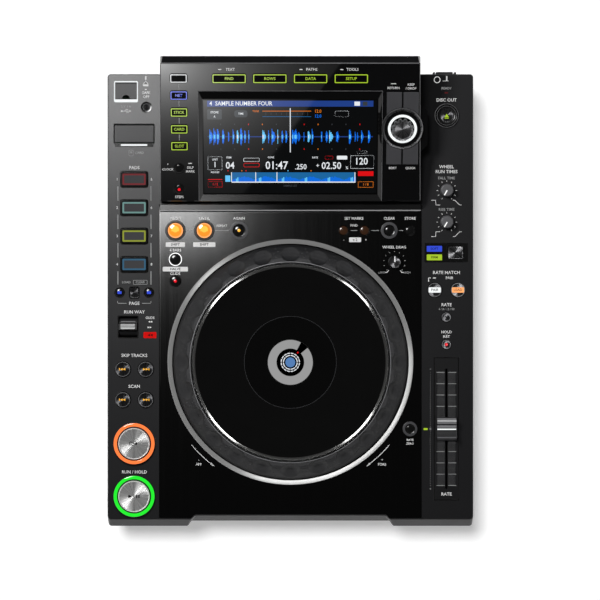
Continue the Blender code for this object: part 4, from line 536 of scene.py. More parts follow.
class Form:
    """A mesh in the making on one panel: closed bodies of lofts, turned shapes, plates and words."""

    def __init__(self, panel: Matrix = DECK) -> None:
        """Starts an empty form on a panel."""
        self.panel = panel
        self.points: list[Vector] = []
        self.faces: list[tuple[int, ...]] = []
        self.marks: list[int] = []

    def rows(self, rows: Sequence[Sequence[Sequence[float]]], mark: int = 0, ends: bool = True,
             wrap: bool = False) -> None:
        """Adds a skin over rows of points.

        Args:
            rows: Rows of (x, y, z) points. A row of one point is an apex.
            mark: The number of the finish.
            ends: Whether the first and last rows are closed by a face.
            wrap: Whether the last row joins the first.
        """
        starts = []
        for row in rows:
            starts.append(len(self.points))
            self.points.extend(Vector(point) for point in row)
        count = max(len(row) for row in rows)
        pairs = list(zip(range(len(rows)), range(1, len(rows))))
        if wrap:
            pairs.append((len(rows) - 1, 0))
        for low, high in pairs:
            for here in range(count):
                after = (here + 1) % count
                below = [starts[low]] if len(rows[low]) == 1 else [starts[low] + here, starts[low] + after]
                above = [starts[high]] if len(rows[high]) == 1 else [starts[high] + after, starts[high] + here]
                self._face(tuple(below + above), mark)
        if ends and not wrap:
            if len(rows[0]) > 1:
                self._face(tuple(reversed(range(starts[0], starts[0] + count))), mark)
            if len(rows[-1]) > 1:
                self._face(tuple(range(starts[-1], starts[-1] + count)), mark)

    def _face(self, corners: tuple[int, ...], mark: int) -> None:
        """Keeps one face and its finish's number."""
        if len(set(corners)) > 2:
            self.faces.append(corners)
            self.marks.append(mark)

    def loft(self, levels: Levels, mark: int = 0) -> "Form":
        """Adds a closed body through level outlines, from the lowest up."""
        self.rows([[(x, y, height) for x, y in outline] for outline, height in levels], mark)
        return self

    def plate(self, outline: Outline, low: float, high: float, edge: float = 0.0, mark: int = 0) -> "Form":
        """Adds a plate with softened top edges.

        Args:
            outline: The plate's plan, anticlockwise.
            low: The underside's height.
            high: The top's height.
            edge: How much the top edge is rounded.
            mark: The number of the finish.

        Returns:
            The form itself.
        """
        levels: list[tuple[Outline, float]] = [(outline, low)]
        if edge:
            for step in range(4):
                turn = math.pi / 2 * step / 3
                levels.append((grown(outline, edge * (math.cos(turn) - 1)), high - edge * (1 - math.sin(turn))))
        else:
            levels.append((outline, high))
        return self.loft(levels, mark)

    def stamp(self, outline: Outline, mark: int = 0) -> "Form":
        """Adds a printed shape."""
        return self.plate(outline, INK_LOW, INK_HIGH, mark=mark)

    def surround(self, outer: Outline, inner: Outline, low: float, high: float, edge: float = 0.0,
                 mark: int = 0) -> "Form":
        """Adds a closed ring between two outlines of as many points each."""
        edge = max(edge, 0.0001)
        levels = [(outer, low), (outer, high - edge), (grown(outer, -edge), high),
                  (grown(inner, edge), high), (inner, high - edge), (inner, low)]
        self.rows([[(x, y, height) for x, y in outline] for outline, height in levels], mark, False, True)
        return self

    @staticmethod
    def _rounds(profile: Sequence[Spot], centre: Spot, steps: int) -> list[list[tuple[float, ...]]]:
        """One row of points for each (radius, height) of a profile."""
        return [[(*centre, height)] if radius == 0 else [(*spot, height) for spot in circle(radius, steps, centre)]
                for radius, height in profile]

    def turn(self, profile: Sequence[Spot], centre: Spot = (0.0, 0.0), steps: int = ROUND_STEPS,
             mark: int = 0) -> "Form":
        """Adds a turned body: a ring where the profile stays off the axis.

        Args:
            profile: (radius, height) points, from the outside bottom up and in.
            centre: Where the axis stands.
            steps: Steps round the axis.
            mark: The number of the finish.

        Returns:
            The form itself.
        """
        ring = all(radius > 0 for radius, _ in profile)
        self.rows(self._rounds(profile, centre, steps), mark, not ring, ring)
        return self

    def cap(self, profile: Sequence[Spot], centre: Spot = (0.0, 0.0), steps: int = ROUND_STEPS,
            mark: int = 0) -> "Form":
        """Adds a turned body that is closed by flat ends."""
        self.rows(self._rounds(profile, centre, steps), mark)
        return self

    def trail(self, points: Sequence[Spot], width: float, low: float = INK_LOW, high: float = INK_HIGH,
              mark: int = 0) -> "Form":
        """Adds a flat line of even width along points."""
        left: Outline = []
        right: Outline = []
        for here, point in enumerate(points):
            before = Vector(points[max(0, here - 1)])
            after = Vector(points[min(len(points) - 1, here + 1)])
            along = (after - before).normalized()
            side = Vector((along.y, -along.x)) * width / 2
            right.append((point[0] + side.x, point[1] + side.y))
            left.append((point[0] - side.x, point[1] - side.y))
        rows = [[(*r, low), (*r, high), (*l, high), (*l, low)] for r, l in zip(right, left)]
        self.rows(rows, mark)
        return self

    def words(self, text: str, size: float, place: Spot, mark: int = 0, align: str = "CENTER",
              low: float = INK_LOW, high: float = INK_HIGH, squeeze: float = 1.0) -> "Form":
        """Adds printed or lit words, as thin closed letters.

        Args:
            text: The words.
            size: The letters' size.
            place: Where they stand, level with the capitals' middle.
            mark: The number of the finish.
            align: The text object's horizontal alignment.
            low: The letters' underside.
            high: The letters' top.
            squeeze: A factor on their width.

        Returns:
            The form itself.
        """
        curve = bpy.data.curves.new("letters", "FONT")
        curve.body = text
        curve.size = size
        curve.align_x = align
        curve.align_y = "CENTER"
        curve.extrude = (high - low) / 2
        curve.offset = 0.012 * size
        curve.resolution_u = 2
        holder = bpy.data.objects.new("letters", curve)
        bpy.context.scene.collection.objects.link(holder)
        bpy.context.view_layer.update()
        mesh = bpy.data.meshes.new_from_object(holder.evaluated_get(bpy.context.evaluated_depsgraph_get()))
        first = len(self.points)
        for vertex in mesh.vertices:
            x, y, z = vertex.co
            self.points.append(Vector((place[0] + x * squeeze, place[1] + y, z + (high + low) / 2)))
        for polygon in mesh.polygons:
            self._face(tuple(first + index for index in polygon.vertices), mark)
        bpy.data.meshes.remove(mesh)
        bpy.data.objects.remove(holder)
        bpy.data.curves.remove(curve)
        return self

    def make(self, name: str, finishes: Sequence[Finish]) -> bpy.types.Object:
        """Makes the mesh object in metres, with its finishes.

        Args:
            name: The piece's name.
            finishes: The finishes, by mark.

        Returns:
            The new object.
        """
        mesh = bpy.data.meshes.new(name)
        mesh.from_pydata([(self.panel @ point) * MM for point in self.points], [], self.faces)
        for finish in finishes:
            mesh.materials.append(finish.material())
        mesh.polygons.foreach_set("material_index", self.marks)
        shape = bmesh.new()
        shape.from_mesh(mesh)
        bmesh.ops.recalc_face_normals(shape, faces=shape.faces)
        shape.to_mesh(mesh)
        shape.free()
        mesh.shade_smooth()
        mesh.set_sharp_from_angle(angle=math.radians(34))
        made = bpy.data.objects.new(name, mesh)
        bpy.context.scene.collection.objects.link(made)
        even = made.modifiers.new("even_normals", "WEIGHTED_NORMAL")
        even.keep_sharp = True
        return made


def node_centre(node: str) -> Spot:
    """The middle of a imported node's box in plan.

    Args:
        node: The node's name.

    Returns:
        Its x and y in millimetres.
    """
    low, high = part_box(node)
    return (low.x + high.x) / 2 / MM, (low.y + high.y) / 2 / MM


class SubAssembly:
    """A group of the player's pieces that are built and dressed together."""

    body = "case"
    slot = "column_plastic"

    def build(self) -> None:
        """Builds every piece of the group."""
        raise NotImplementedError

    def add(self, form: Form, name: str, finishes: Sequence[Finish], body: str = "", slot: str = "",
            stands_for: Sequence[str] = ()) -> bpy.types.Object:
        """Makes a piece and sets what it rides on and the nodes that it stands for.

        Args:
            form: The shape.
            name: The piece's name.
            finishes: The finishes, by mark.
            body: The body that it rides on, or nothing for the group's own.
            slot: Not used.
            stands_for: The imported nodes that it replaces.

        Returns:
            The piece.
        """
        piece = form.make(name, finishes)
        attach(piece, body or self.body)
        if stands_for:
            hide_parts(*stands_for)
        LOG.info("%s: %d faces on %s", name, len(form.faces), body or self.body)
        return piece

    @staticmethod
    def dress(node: str, finish: Finish) -> None:
        """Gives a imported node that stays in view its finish."""
        holder = frame["nodes"][node]
        holder.data.materials.clear()
        holder.data.materials.append(finish.material())
        LOG.info("%s: dressed with %s", node, finish.name)


@dataclass
class Cabinet(SubAssembly):
    """The plastic case, the deck plate, the tray and what is printed on the columns."""

    label: float = 3.9
    small_label: float = 3.3
    left_middle: float = -136.6
    right_middle: float = 136.6

    def build(self) -> None:
        """Dresses the shells and prints both columns."""
        for node, finish in (("upper_cabinet", COLUMN_PLASTIC), ("deck_plate", DECK_METAL),
                             ("bottom_chassis", STEEL_PAINT), ("main_board", SOCKET_BLACK),
                             ("media_board", SOLDER_MASK), ("drive_frame", BARE_STEEL),
                             ("loading_roller", RUBBER), ("spindle_turntable", DRIVE_BLACK),
                             ("jog_bearing", BLACK_RING), ("power_switch", KEY_PLASTIC),
                             ("selector_shaft", SILVER)):
            self.dress(node, finish)
        self._print_left()
        self._print_right()
        self._print_deck()

    def _print_left(self) -> None:
        """Words, lines and signs of the left column."""
        ink = Form(DECK)
        middle, small = self.left_middle, self.small_label
        ink.trail([(-126.6, 189.6), (-126.6, 186.2)], 1.2)
        ink.trail([(-128.6, 183.0), (-126.6, 185.2), (-124.6, 183.0)], 0.5)
        ink.stamp(rounded(4.8, 1.6, 0.3, (-126.6, 181.6)))
        ink.trail([(-127.4, 177.9), (-125.8, 177.9)], 0.8)
        ink.words("SAFE", small, (-126.2, 175.0)).words("OFF", small, (-126.2, 171.5))
        ink.words("5 V  1 A", 2.5, (-143.8, 162.9), mark=1)
        ink.trail([(-147.6, 159.0), (-140.4, 159.0)], 0.4).stamp(circle(0.8, 20, (-147.6, 159.0)))
        ink.trail([(-145.2, 159.0), (-143.8, 160.4), (-142.2, 160.4)], 0.35)
        ink.trail([(-144.4, 159.0), (-143.0, 157.6), (-141.6, 157.6)], 0.35)
        ink.stamp([(-140.8, 158.2), (-139.3, 159.0), (-140.8, 159.8)])
        ink.surround(rounded(4.2, 5.4, 1.0, (-139.4, 122.4)), rounded(3.6, 4.8, 0.8, (-139.4, 122.4)),
                     INK_LOW, INK_HIGH, mark=1)
        ink.stamp(rounded(1.3, 1.6, 0.2, (-139.4, 122.9)), mark=1)
        ink.words("CARD", 2.9, (-132.2, 122.4), mark=1)
        ink.words("PADS", self.label, (middle, 109.4))
        for number in range(4):
            row = 99.2 - 24.8 * number
            ink.words(str(number + 1), 3.1, (-151.6, row)).words(str(number + 5), 3.1, (-121.6, row))
        for x in (-150.9, -122.0):
            for high, low in ((93.2, 80.6), (68.4, 55.8), (43.6, 31.0), (18.8, 7.2)):
                ink.trail([(x, high), (x, low)], 0.75, mark=1)
        ink.words("LOAD", 2.8, (-143.6, 9.2), mark=1)
        ink.surround(rounded(12.4, 3.9, 0.6, (-131.4, 9.2)), rounded(11.7, 3.2, 0.4, (-131.4, 9.2)),
                     INK_LOW, INK_HIGH, mark=1)
        ink.words("CLEAR", 2.7, (-131.4, 9.2), mark=1)
        for side in (-1, 1):
            x = middle + side * 14.6
            ink.trail([(x, -7.2), (x, -8.6), (x - side * 0.6, -9.2), (middle + side * 6.8, -9.2)], 0.5, mark=1)
        ink.words("PAGE", self.label, (middle, -9.3))
        ink.words("RUN WAY", self.label, (middle, -16.9))
        for y, text, way in ((-21.9, "GLIDE", -1), (-25.3, "", -1), (-30.3, "", 1)):
            if text:
                ink.words(text, 2.9, (-122.8, y))
            for step in (-1.4, 0.4):
                x = -122.9 + step * way
                arrow = [(x - 0.6 * way, y - 0.9), (x + 1.0 * way, y), (x - 0.6 * way, y + 0.9)]
                if not text:
                    ink.stamp(arrow if way > 0 else arrow[::-1])
        ink.stamp(rounded(11.4, 5.4, 0.9, (-122.9, -37.0)), mark=3)
        for step in (-2.0, 0.4):
            ink.plate([(-122.9 + step, -37.0), (-120.9 + step, -38.2), (-120.9 + step, -35.8)], 0.0, 0.07, mark=2)
        ink.words("SKIP TRACKS", self.label, (middle, -54.9)).words("SCAN", self.label, (middle, -82.0))
        ink.words("RUN / HOLD", self.label, (middle, -156.9))
        self.add(ink, "left_column_print", [WHITE_INK, GREY_INK_AND_SHEEN, DARK_INK, RED_INK])

    def _print_right(self) -> None:
        """Words, scales and signs of the right column."""
        ink = Form(DECK)
        middle, small = self.right_middle, self.small_label
        ink.surround(circle(2.9, 32, (128.4, 186.4)), circle(2.3, 32, (128.4, 186.4)), INK_LOW, INK_HIGH)
        ink.trail([(133.2, 185.4), (135.2, 185.4)], 0.4).trail([(136.8, 185.2), (136.8, 189.6)], 1.2)
        ink.trail([(135.4, 185.4), (138.2, 185.4)], 0.5)
        ink.words("READY", 2.9, (middle, 178.9), mark=1)
        ink.words("DISC OUT", self.label, (middle, 168.6))
        ink.words("WHEEL", self.label, (middle, 110.2)).words("RUN TIMES", self.label, (middle, 105.9))
        ink.words("FALL TIME", small, (middle, 100.3), mark=1).words("RISE TIME", small, (middle, 72.8), mark=1)
        for y, rising in ((76.8, False), (49.2, True)):
            for side in (-1, 1):
                foot, head = (y, y + 4.2) if rising else (y + 4.2, y)
                run = 0.3 if side < 0 else 4.2
                x = middle + side * 9.4
                ink.trail([(x - 3.8, foot), (x - run / 2, foot), (x + run / 2, head), (x + 3.8, head)], 0.5)
        ink.words("RATE MATCH", self.label, (middle, 17.6))
        ink.words("PAIR", small, (middle + 2.6, 13.0)).trail([(124.6, 13.0), (127.4, 13.0)], 0.8)
        ink.trail([(120.9, 9.8), (120.9, 13.0), (122.8, 13.0)], 0.8)
        ink.words("RATE", self.label, (middle, -10.6)).words("4 / 8 / 12 / 50", 2.5, (middle, -14.4), mark=1)
        ink.words("HOLD", small, (middle, -34.4)).words("KEY", small, (middle, -38.2))
        ink.words("RATE", self.label, (middle - 0.1, -176.2), low=0.2, high=0.36)
        self.add(ink, "right_column_print", [WHITE_INK, GREY_INK_AND_SHEEN])

    def _print_deck(self) -> None:
        """Words, tags and arrows of the deck plate."""
        ink = Form(DECK)
        small = self.small_label
        ink.words("FROM", small, (-100.6, 65.0)).words("UNTIL", small, (-75.4, 65.0))
        ink.words("AGAIN", small, (-44.9, 65.0)).words("REPEAT", 2.8, (-60.0, 58.6))
        ink.trail([(-91.0, 54.5), (-85.0, 54.5)], 0.5, mark=1).trail([(-65.6, 54.5), (-54.0, 54.5)], 0.5, mark=1)
        for text, width, x, y in (("SHIFT", 16.9, -100.7, 42.2), ("SHIFT", 19.6, -75.4, 42.2),
                                  ("HALVE", 22.0, -100.7, 20.7), ("x 2", 10.5, 56.6, 46.4)):
            ink.stamp(rounded(width, 4.1, 0.8, (x, y)))
            ink.words(text, 3.1, (x, y), mark=2, high=0.07)
        ink.words("4 BARS", small, (-100.6, 37.2)).words("GLIDE", small, (-100.7, 16.7))
        ink.words("SET MARKS", small, (55.6, 65.0)).words("FIND", 2.8, (55.6, 58.9))
        ink.words("CLEAR", small, (86.5, 65.0)).words("STORE", small, (104.8, 65.0))
        ink.words("-", 2.8, (46.8, 46.4)).words("+", 2.8, (66.0, 46.4))
        for start, end in ((52.8, 58.6), (70.8, 77.4), (95.0, 98.8)):
            ink.trail([(start, 54.5), (end, 54.5)], 0.5, mark=1)
        ink.words("WHEEL DRAG", small, (91.0, 39.8))
        for side, text in ((-1, "LOW"), (1, "HIGH")):
            x = 91.0 + side * 6.4
            ink.trail([(x - side * 1.4, 19.6), (x, 17.8), (x + side * 1.6, 17.8)], 0.6)
            ink.words(text, 2.4, (x + side * 4.8, 17.6), mark=1)
        ink.words("RATE", 2.6, (104.7, -128.8)).words("ZERO", 2.6, (104.7, -132.0))
        for side in (-1, 1):
            arc = [(side * 113.0 * math.sin(math.radians(a)), -60.4 - 113.0 * math.cos(math.radians(a)))
                   for a in range(50, 36, -1)]
            ink.trail(arc, 0.5)
            tip, before = Vector(arc[-1]), Vector(arc[-4])
            along = (tip - before).normalized()
            across = Vector((-along.y, along.x))
            head = [tuple(tip + along * 2.2), tuple(tip - along * 2.2 + across * 0.9),
                    tuple(tip - along * 2.2 - across * 0.9)]
            ink.stamp(head if side > 0 else head[::-1])
            ink.words("AFT" if side < 0 else "FORE", 3.0, (side * 80.2, -150.2))
            ink.words("-" if side < 0 else "+", 2.8, (side * 80.2, -146.2))
        self.add(ink, "deck_print", [WHITE_INK, GREY_INK_AND_SHEEN, DARK_INK], slot="brushed_deck")


class CapKind(Enum):
    """How a round push button looks."""

    TURNED = "turned black metal cap"
    DOMED = "glossy domed cap"
    TINTED = "unlit amber domed cap"
    GLOWING = "lit domed cap"


@dataclass(frozen=True)
class RoundButton:
    """One round push button: its cap, the ring round it, and the mark on it."""

    node: str
    radius: float
    rise: float
    kind: CapKind
    bezel: float
    outer_ring: float = 0.0
    outer_finish: Finish = GREY_RING
    mark: str = ""
    mark_finish: Finish = AMBER_SIGN
    slot: str = "black_key"
    word: str = ""


@dataclass
class RoundButtons(SubAssembly):
    """Every round push button on the columns and on the deck plate."""

    slot: str = "black_key"
    buttons: list[RoundButton] = field(default_factory=lambda: [
        RoundButton("stop_button", 3.1, 1.2, CapKind.TURNED, 4.9),
        *(RoundButton(f"bank_button_{side}", 3.6, 1.2, CapKind.DOMED, 4.6, mark="tile", mark_finish=LIT_BLUE)
          for side in ("left", "right")),
        *(RoundButton(f"{what}_{way}_button", 6.4, 2.2, CapKind.TURNED, 7.3, mark=mark, slot="satin_metal")
          for what in ("track", "search") for way, mark in (("back", "back"), ("forward", "ahead"))),
        RoundButton("sync_button", 6.0, 1.2, CapKind.TURNED, 6.8, mark="tag", mark_finish=LIT_WHITE, word="PAIR"),
        RoundButton("master_button", 6.0, 1.2, CapKind.TURNED, 6.8, mark="tag", mark_finish=LIT_AMBER, word="LEAD"),
        RoundButton("tempo_range_button", 3.9, 1.2, CapKind.TURNED, 4.6),
        RoundButton("master_tempo_button", 3.9, 1.2, CapKind.TURNED, 4.6, mark="lens", mark_finish=LIT_RED),
        *(RoundButton(f"loop_{end}_button", 6.4, 2.2, CapKind.GLOWING, 7.4, outer_ring=9.1,
                      outer_finish=KEY_PLASTIC, mark="core", mark_finish=AMBER_MID, slot="orange_key")
          for end in ("in", "out")),
        RoundButton("reloop_button", 4.6, 1.2, CapKind.DOMED, 5.7, outer_ring=8.0, mark="lens",
                    mark_finish=AMBER_SIGN),
        RoundButton("beat_loop_button", 4.6, 1.2, CapKind.DOMED, 5.0, outer_ring=5.8, outer_finish=WHITE_INK),
        RoundButton("slip_button", 4.6, 1.2, CapKind.DOMED, 5.3, mark="lens", mark_finish=LIT_RED),
        *(RoundButton(f"call_{way}_button", 3.9, 1.2, CapKind.TINTED, 4.7) for way in ("back", "forward")),
        RoundButton("delete_button", 3.9, 1.2, CapKind.DOMED, 5.0, outer_ring=7.3),
        RoundButton("memory_button", 3.9, 1.2, CapKind.DOMED, 4.7),
        RoundButton("tempo_reset_button", 3.4, 1.2, CapKind.DOMED, 4.4, outer_ring=6.4),
    ])

    def build(self) -> None:
        """Builds each button's cap, ring and mark."""
        bezels = Form(DECK)
        finishes: list[Finish] = [BLACK_RING, GREY_RING, WHITE_INK, KEY_PLASTIC]
        for button in self.buttons:
            centre = node_centre(button.node)
            self._cap(button, centre)
            bezels.turn([(button.bezel, -0.05), (button.bezel, 0.35), (button.bezel - 0.25, 0.6),
                         (button.radius + 0.35, 0.45), (button.radius + 0.25, -0.05)], centre)
            if button.outer_ring:
                mark = finishes.index(button.outer_finish)
                high = 0.12 if mark == 2 else 0.30
                bezels.turn([(button.outer_ring, -0.05), (button.outer_ring, high * 0.6),
                             (button.outer_ring - 0.3, high), (button.bezel + 0.05, high),
                             (button.bezel + 0.02, -0.05)], centre, mark=mark)
        self.add(bezels, "button_rings", finishes, slot="gloss_black")

    def _cap(self, button: RoundButton, centre: Spot) -> None:
        """One button's cap with its mark."""
        form = Form(DECK)
        radius, rise = button.radius, button.rise
        skirt = [(radius + 0.6, -3.6), (radius, -3.2), (radius, rise - 0.5)]
        if button.kind is CapKind.TURNED:
            crown = [(radius - 0.15, rise - 0.12), (radius - 0.5, rise), (radius * 0.5, rise - 0.10),
                     (0.0, rise - 0.22)]
        else:
            crown = dome(radius, rise - 0.5, radius * 0.22)
        form.cap(skirt + crown, centre)
        finishes = [{CapKind.TURNED: NIGHT_TURNED, CapKind.DOMED: GLOSS_KEY, CapKind.TINTED: AMBER_UNLIT,
                     CapKind.GLOWING: LIT_AMBER}[button.kind]]
        if button.kind is CapKind.TURNED:
            form.turn([(radius + 0.02, rise - 0.7), (radius + 0.02, rise - 0.12), (radius - 0.12, rise + 0.05),
                       (radius - 0.42, rise + 0.05), (radius - 0.5, rise - 0.7)], centre, mark=len(finishes))
            finishes.append(TRIM_AND_SHEEN_GREY)
        if button.mark:
            self._mark(form, button, centre, len(finishes))
            finishes.append(button.mark_finish)
            if button.mark in ("core", "tag"):
                finishes.append(AMBER_CORE if button.mark == "core" else DARK_INK)
        self.add(form, f"{button.node}_cap", finishes, body=button.node, slot=button.slot, stands_for=[button.node])

    @staticmethod
    def _mark(form: Form, button: RoundButton, centre: Spot, mark: int) -> None:
        """The lit sign or lens set in a cap.

        Args:
            form: The cap's form.
            button: The button.
            centre: The cap's centre.
            mark: The number of the sign's finish.
        """
        x, y = centre
        top = button.rise
        crown = top - 0.5 + button.radius * 0.22
        if button.mark == "lens":
            form.cap([(1.35, crown - 0.5), (1.35, crown - 0.05), (0.9, crown + 0.1), (0.0, crown + 0.15)], centre, 24,
                     mark=mark)
        elif button.mark == "core":
            form.cap([(5.5, top - 0.4), (5.5, top + 0.36), (4.4, top + 0.66), (2.2, top + 0.92), (0.0, top + 1.0)],
                     centre, 36, mark=mark)
            form.cap([(3.4, top + 0.5), (3.4, top + 0.80), (2.2, top + 0.96), (0.0, top + 1.04)], (x, y + 0.6), 32,
                     mark=mark + 1)
        elif button.mark == "tile":
            form.plate(rounded(3.6, 2.4, 0.4, centre), top - 0.5, crown + 0.04, 0.08, mark=mark)
        elif button.mark == "tag":
            form.plate(rounded(10.6, 4.6, 0.7, centre), top - 0.5, top + 0.1, 0.08, mark=mark)
            form.words(button.word, 3.2, centre, mark + 1, low=top, high=top + 0.16)
        else:
            way = -1 if button.mark == "back" else 1
            for step in (-2.3 * way, 0.1 * way):
                arrow = [(x + step, y + 1.0), (x + step, y - 1.0), (x + step + 2.3 * way, y)]
                form.plate(arrow if way > 0 else arrow[::-1], top - 0.5, top + 0.05, mark=mark)
            form.plate(rounded(0.7, 2.0, 0.1, (x + 2.9 * way, y)), top - 0.5, top + 0.05, mark=mark)


@dataclass
class StartButtons(SubAssembly):
    """The two large start buttons: lit rings on the case and dished turned caps."""

    slot: str = "satin_metal"

    def build(self) -> None:
        """Builds both buttons and the eject button."""
        for node, finish, name in (("cue_button", LIT_ORANGE, "cue"), ("play_button", LIT_GREEN, "play")):
            centre = node_centre(node)
            ring = Form(DECK)
            ring.turn([(18.3, -0.05), (18.3, 2.0), (18.1, 2.3), (17.85, 2.35), (17.8, 2.3), (17.6, 2.2)], centre,
                      FINE_STEPS)
            ring.turn([(17.9, 1.9), (17.9, 2.35), (17.6, 2.6), (17.0, 2.75), (15.9, 2.75), (15.3, 2.6),
                       (14.95, 2.2), (14.95, 1.9)], centre, FINE_STEPS, mark=1)
            self.add(ring, f"{name}_light_ring", [BLACK_RING, finish])
            well = Form(DECK).turn([(14.97, -0.05), (14.97, 2.0), (14.5, 1.4), (14.05, 1.0), (14.0, -0.05)], centre,
                                   FINE_STEPS)
            self.add(well, f"{name}_well", [BLACK_RING], slot="gloss_black")
            cap = Form(DECK)
            cap.cap([(14.6, -3.6), (13.75, -3.2), (13.75, 3.0), (13.70, 3.2)], centre, FINE_STEPS, mark=2)
            cap.turn([(13.75, 2.8), (13.75, 3.45), (13.6, 3.8), (13.35, 3.97), (13.1, 3.98), (12.9, 3.85),
                      (12.8, 3.5), (12.8, 2.8)], centre, FINE_STEPS, mark=2)
            cap.cap([(12.85, 3.0), (12.85, 3.42), (12.6, 3.48), (6.0, 3.36), (0.8, 3.24), (0.0, 3.24)], centre,
                    FINE_STEPS)
            self._sign(cap, name, centre)
            self.add(cap, f"{node}_cap", [TURNED_METAL, DARK_INK, RIM_WHITE], body=node, stands_for=[node])
        self._eject()

    @staticmethod
    def _sign(form: Form, name: str, centre: Spot) -> None:
        """The dark sign on a cap."""
        x, y = centre
        low, high = 3.1, 3.42
        if name == "cue":
            form.plate(sector(1.7, 1.1, 40, 320, (x - 2.6, y + 0.1)), low, high, mark=1)
            form.plate(circle(1.0, 20, (x + 1.9, y)), low, high, mark=1)
        else:
            form.plate([(x - 5.0, y - 1.5), (x - 1.4, y), (x - 5.0, y + 1.5)], low, high, mark=1)
            for step in (2.4, 4.3):
                form.plate(rounded(1.1, 2.9, 0.1, (x + step, y)), low, high, mark=1)

    def _eject(self) -> None:
        """The disc button: a dark raised collar with two bright lines, and a turned cap."""
        centre = node_centre("eject_button")
        collar = Form(DECK)
        collar.turn([(10.9, -0.05), (10.9, 0.9), (10.5, 1.4), (9.6, 1.6), (8.6, 1.55), (8.2, 1.3), (7.7, 1.35),
                     (7.0, 1.3), (6.5, 1.0), (6.4, -0.05)], centre, FINE_STEPS)
        self.add(collar, "eject_collar", [BLACK_RING], slot="gloss_black")
        lines = Form(DECK)
        lines.turn([(10.45, 1.2), (10.4, 1.55), (10.05, 1.65), (10.0, 1.2)], centre, FINE_STEPS)
        lines.turn([(8.5, 1.2), (8.45, 1.62), (8.2, 1.62), (8.15, 1.2)], centre, FINE_STEPS)
        self.add(lines, "eject_bright_lines", [TRIM_AND_SHEEN_GREY])
        cap = Form(DECK).cap([(6.8, -3.6), (6.0, -3.2), (6.0, 1.7), (5.85, 2.05), (5.5, 2.2), (3.0, 2.1), (0.0, 2.0)],
                             centre, FINE_STEPS)
        x, y = centre
        cap.plate([(x - 1.9, y - 1.4), (x + 1.9, y - 1.4), (x, y + 1.5)], 1.9, 2.2, mark=1)
        cap.plate(rounded(3.8, 0.7, 0.1, (x, y - 2.3)), 1.9, 2.2, mark=1)
        self.add(cap, "eject_button_cap", [DARK_TURNED, LIT_LIME], body="eject_button", slot="black_key",
                 stands_for=["eject_button"])


@dataclass
class Pads(SubAssembly):
    """The four lit pads, the bank row's square key and the wheel mode key."""

    slot: str = "black_key"
    width: float = 22.9
    depth: float = 12.9
    rise: float = 2.2

    def build(self) -> None:
        """Builds the pads, their surrounds and the two square keys."""
        surrounds = Form(DECK)
        for number, finish in enumerate((DIM_RED, DIM_TEAL, DIM_LIME, DIM_BLUE), 1):
            node = f"performance_pad_{number}"
            centre = node_centre(node)
            outline = rounded(self.width, self.depth, 1.4, centre)
            surrounds.surround(grown(outline, 1.0), grown(outline, 0.3), -0.05, 0.5, 0.2)
            pad = Form(DECK)
            pad.loft([(grown(outline, 0.8), -3.6), (outline, -3.2), (outline, self.rise - 0.6),
                      (grown(outline, -0.25), self.rise - 0.15), (grown(outline, -0.5), self.rise)])
            frame_out = rounded(20.4, 9.9, 0.9, centre)
            frame_in = rounded(17.4, 7.0, 0.3, centre)
            pad.surround(frame_out, frame_in, self.rise - 0.3, self.rise + 0.06, 0.02, mark=1)
            pad.plate(grown(frame_in, -0.02), self.rise - 0.3, self.rise + 0.02, mark=2)
            self.add(pad, f"{node}_cap", [GLOSS_KEY, finish, DIM_DARK], body=node, stands_for=[node])
        for node, width, depth in (("hot_cue_call_key", 7.6, 8.9), ("jog_mode_key", 13.2, 11.2)):
            centre = node_centre(node)
            outline = rounded(width, depth, 1.1, centre)
            key = Form(DECK).loft([(grown(outline, 0.8), -3.6), (outline, -3.2), (outline, 0.8),
                                   (grown(outline, -0.2), 1.1), (grown(outline, -0.6), 1.2),
                                   (grown(outline, -1.6), 1.02)])
            self.add(key, f"{node}_cap", [DARK_TURNED], body=node, stands_for=[node])
            surrounds.surround(grown(outline, 0.9), grown(outline, 0.3), -0.05, 0.4, 0.15)
        surrounds.surround(rounded(38.2, 17.1, 0.8, (136.4, 35.15)), rounded(36.8, 15.7, 0.5, (136.4, 35.15)),
                           -0.05, 0.3, 0.1)
        surrounds.surround(rounded(36.9, 15.8, 0.5, (136.4, 35.15)), rounded(14.9, 12.9, 1.4, (144.3, 35.3)),
                           -0.05, 0.02)
        self.add(surrounds, "pad_surrounds", [BLACK_RING], slot="gloss_black")
        lamps = Form(DECK)
        for finish_mark, y, text in ((0, 38.5, "SOFT"), (1, 31.0, "FIRM")):
            lamps.plate(rounded(13.4, 5.1, 0.5, (126.0, y)), -0.02, 0.15, 0.05, mark=finish_mark)
            lamps.words(text, 2.9, (126.0, y), mark=2, low=0.1, high=0.19)
        self.add(lamps, "wheel_mode_lamps", [LIT_BLUE, LIT_LIME, DARK_INK])


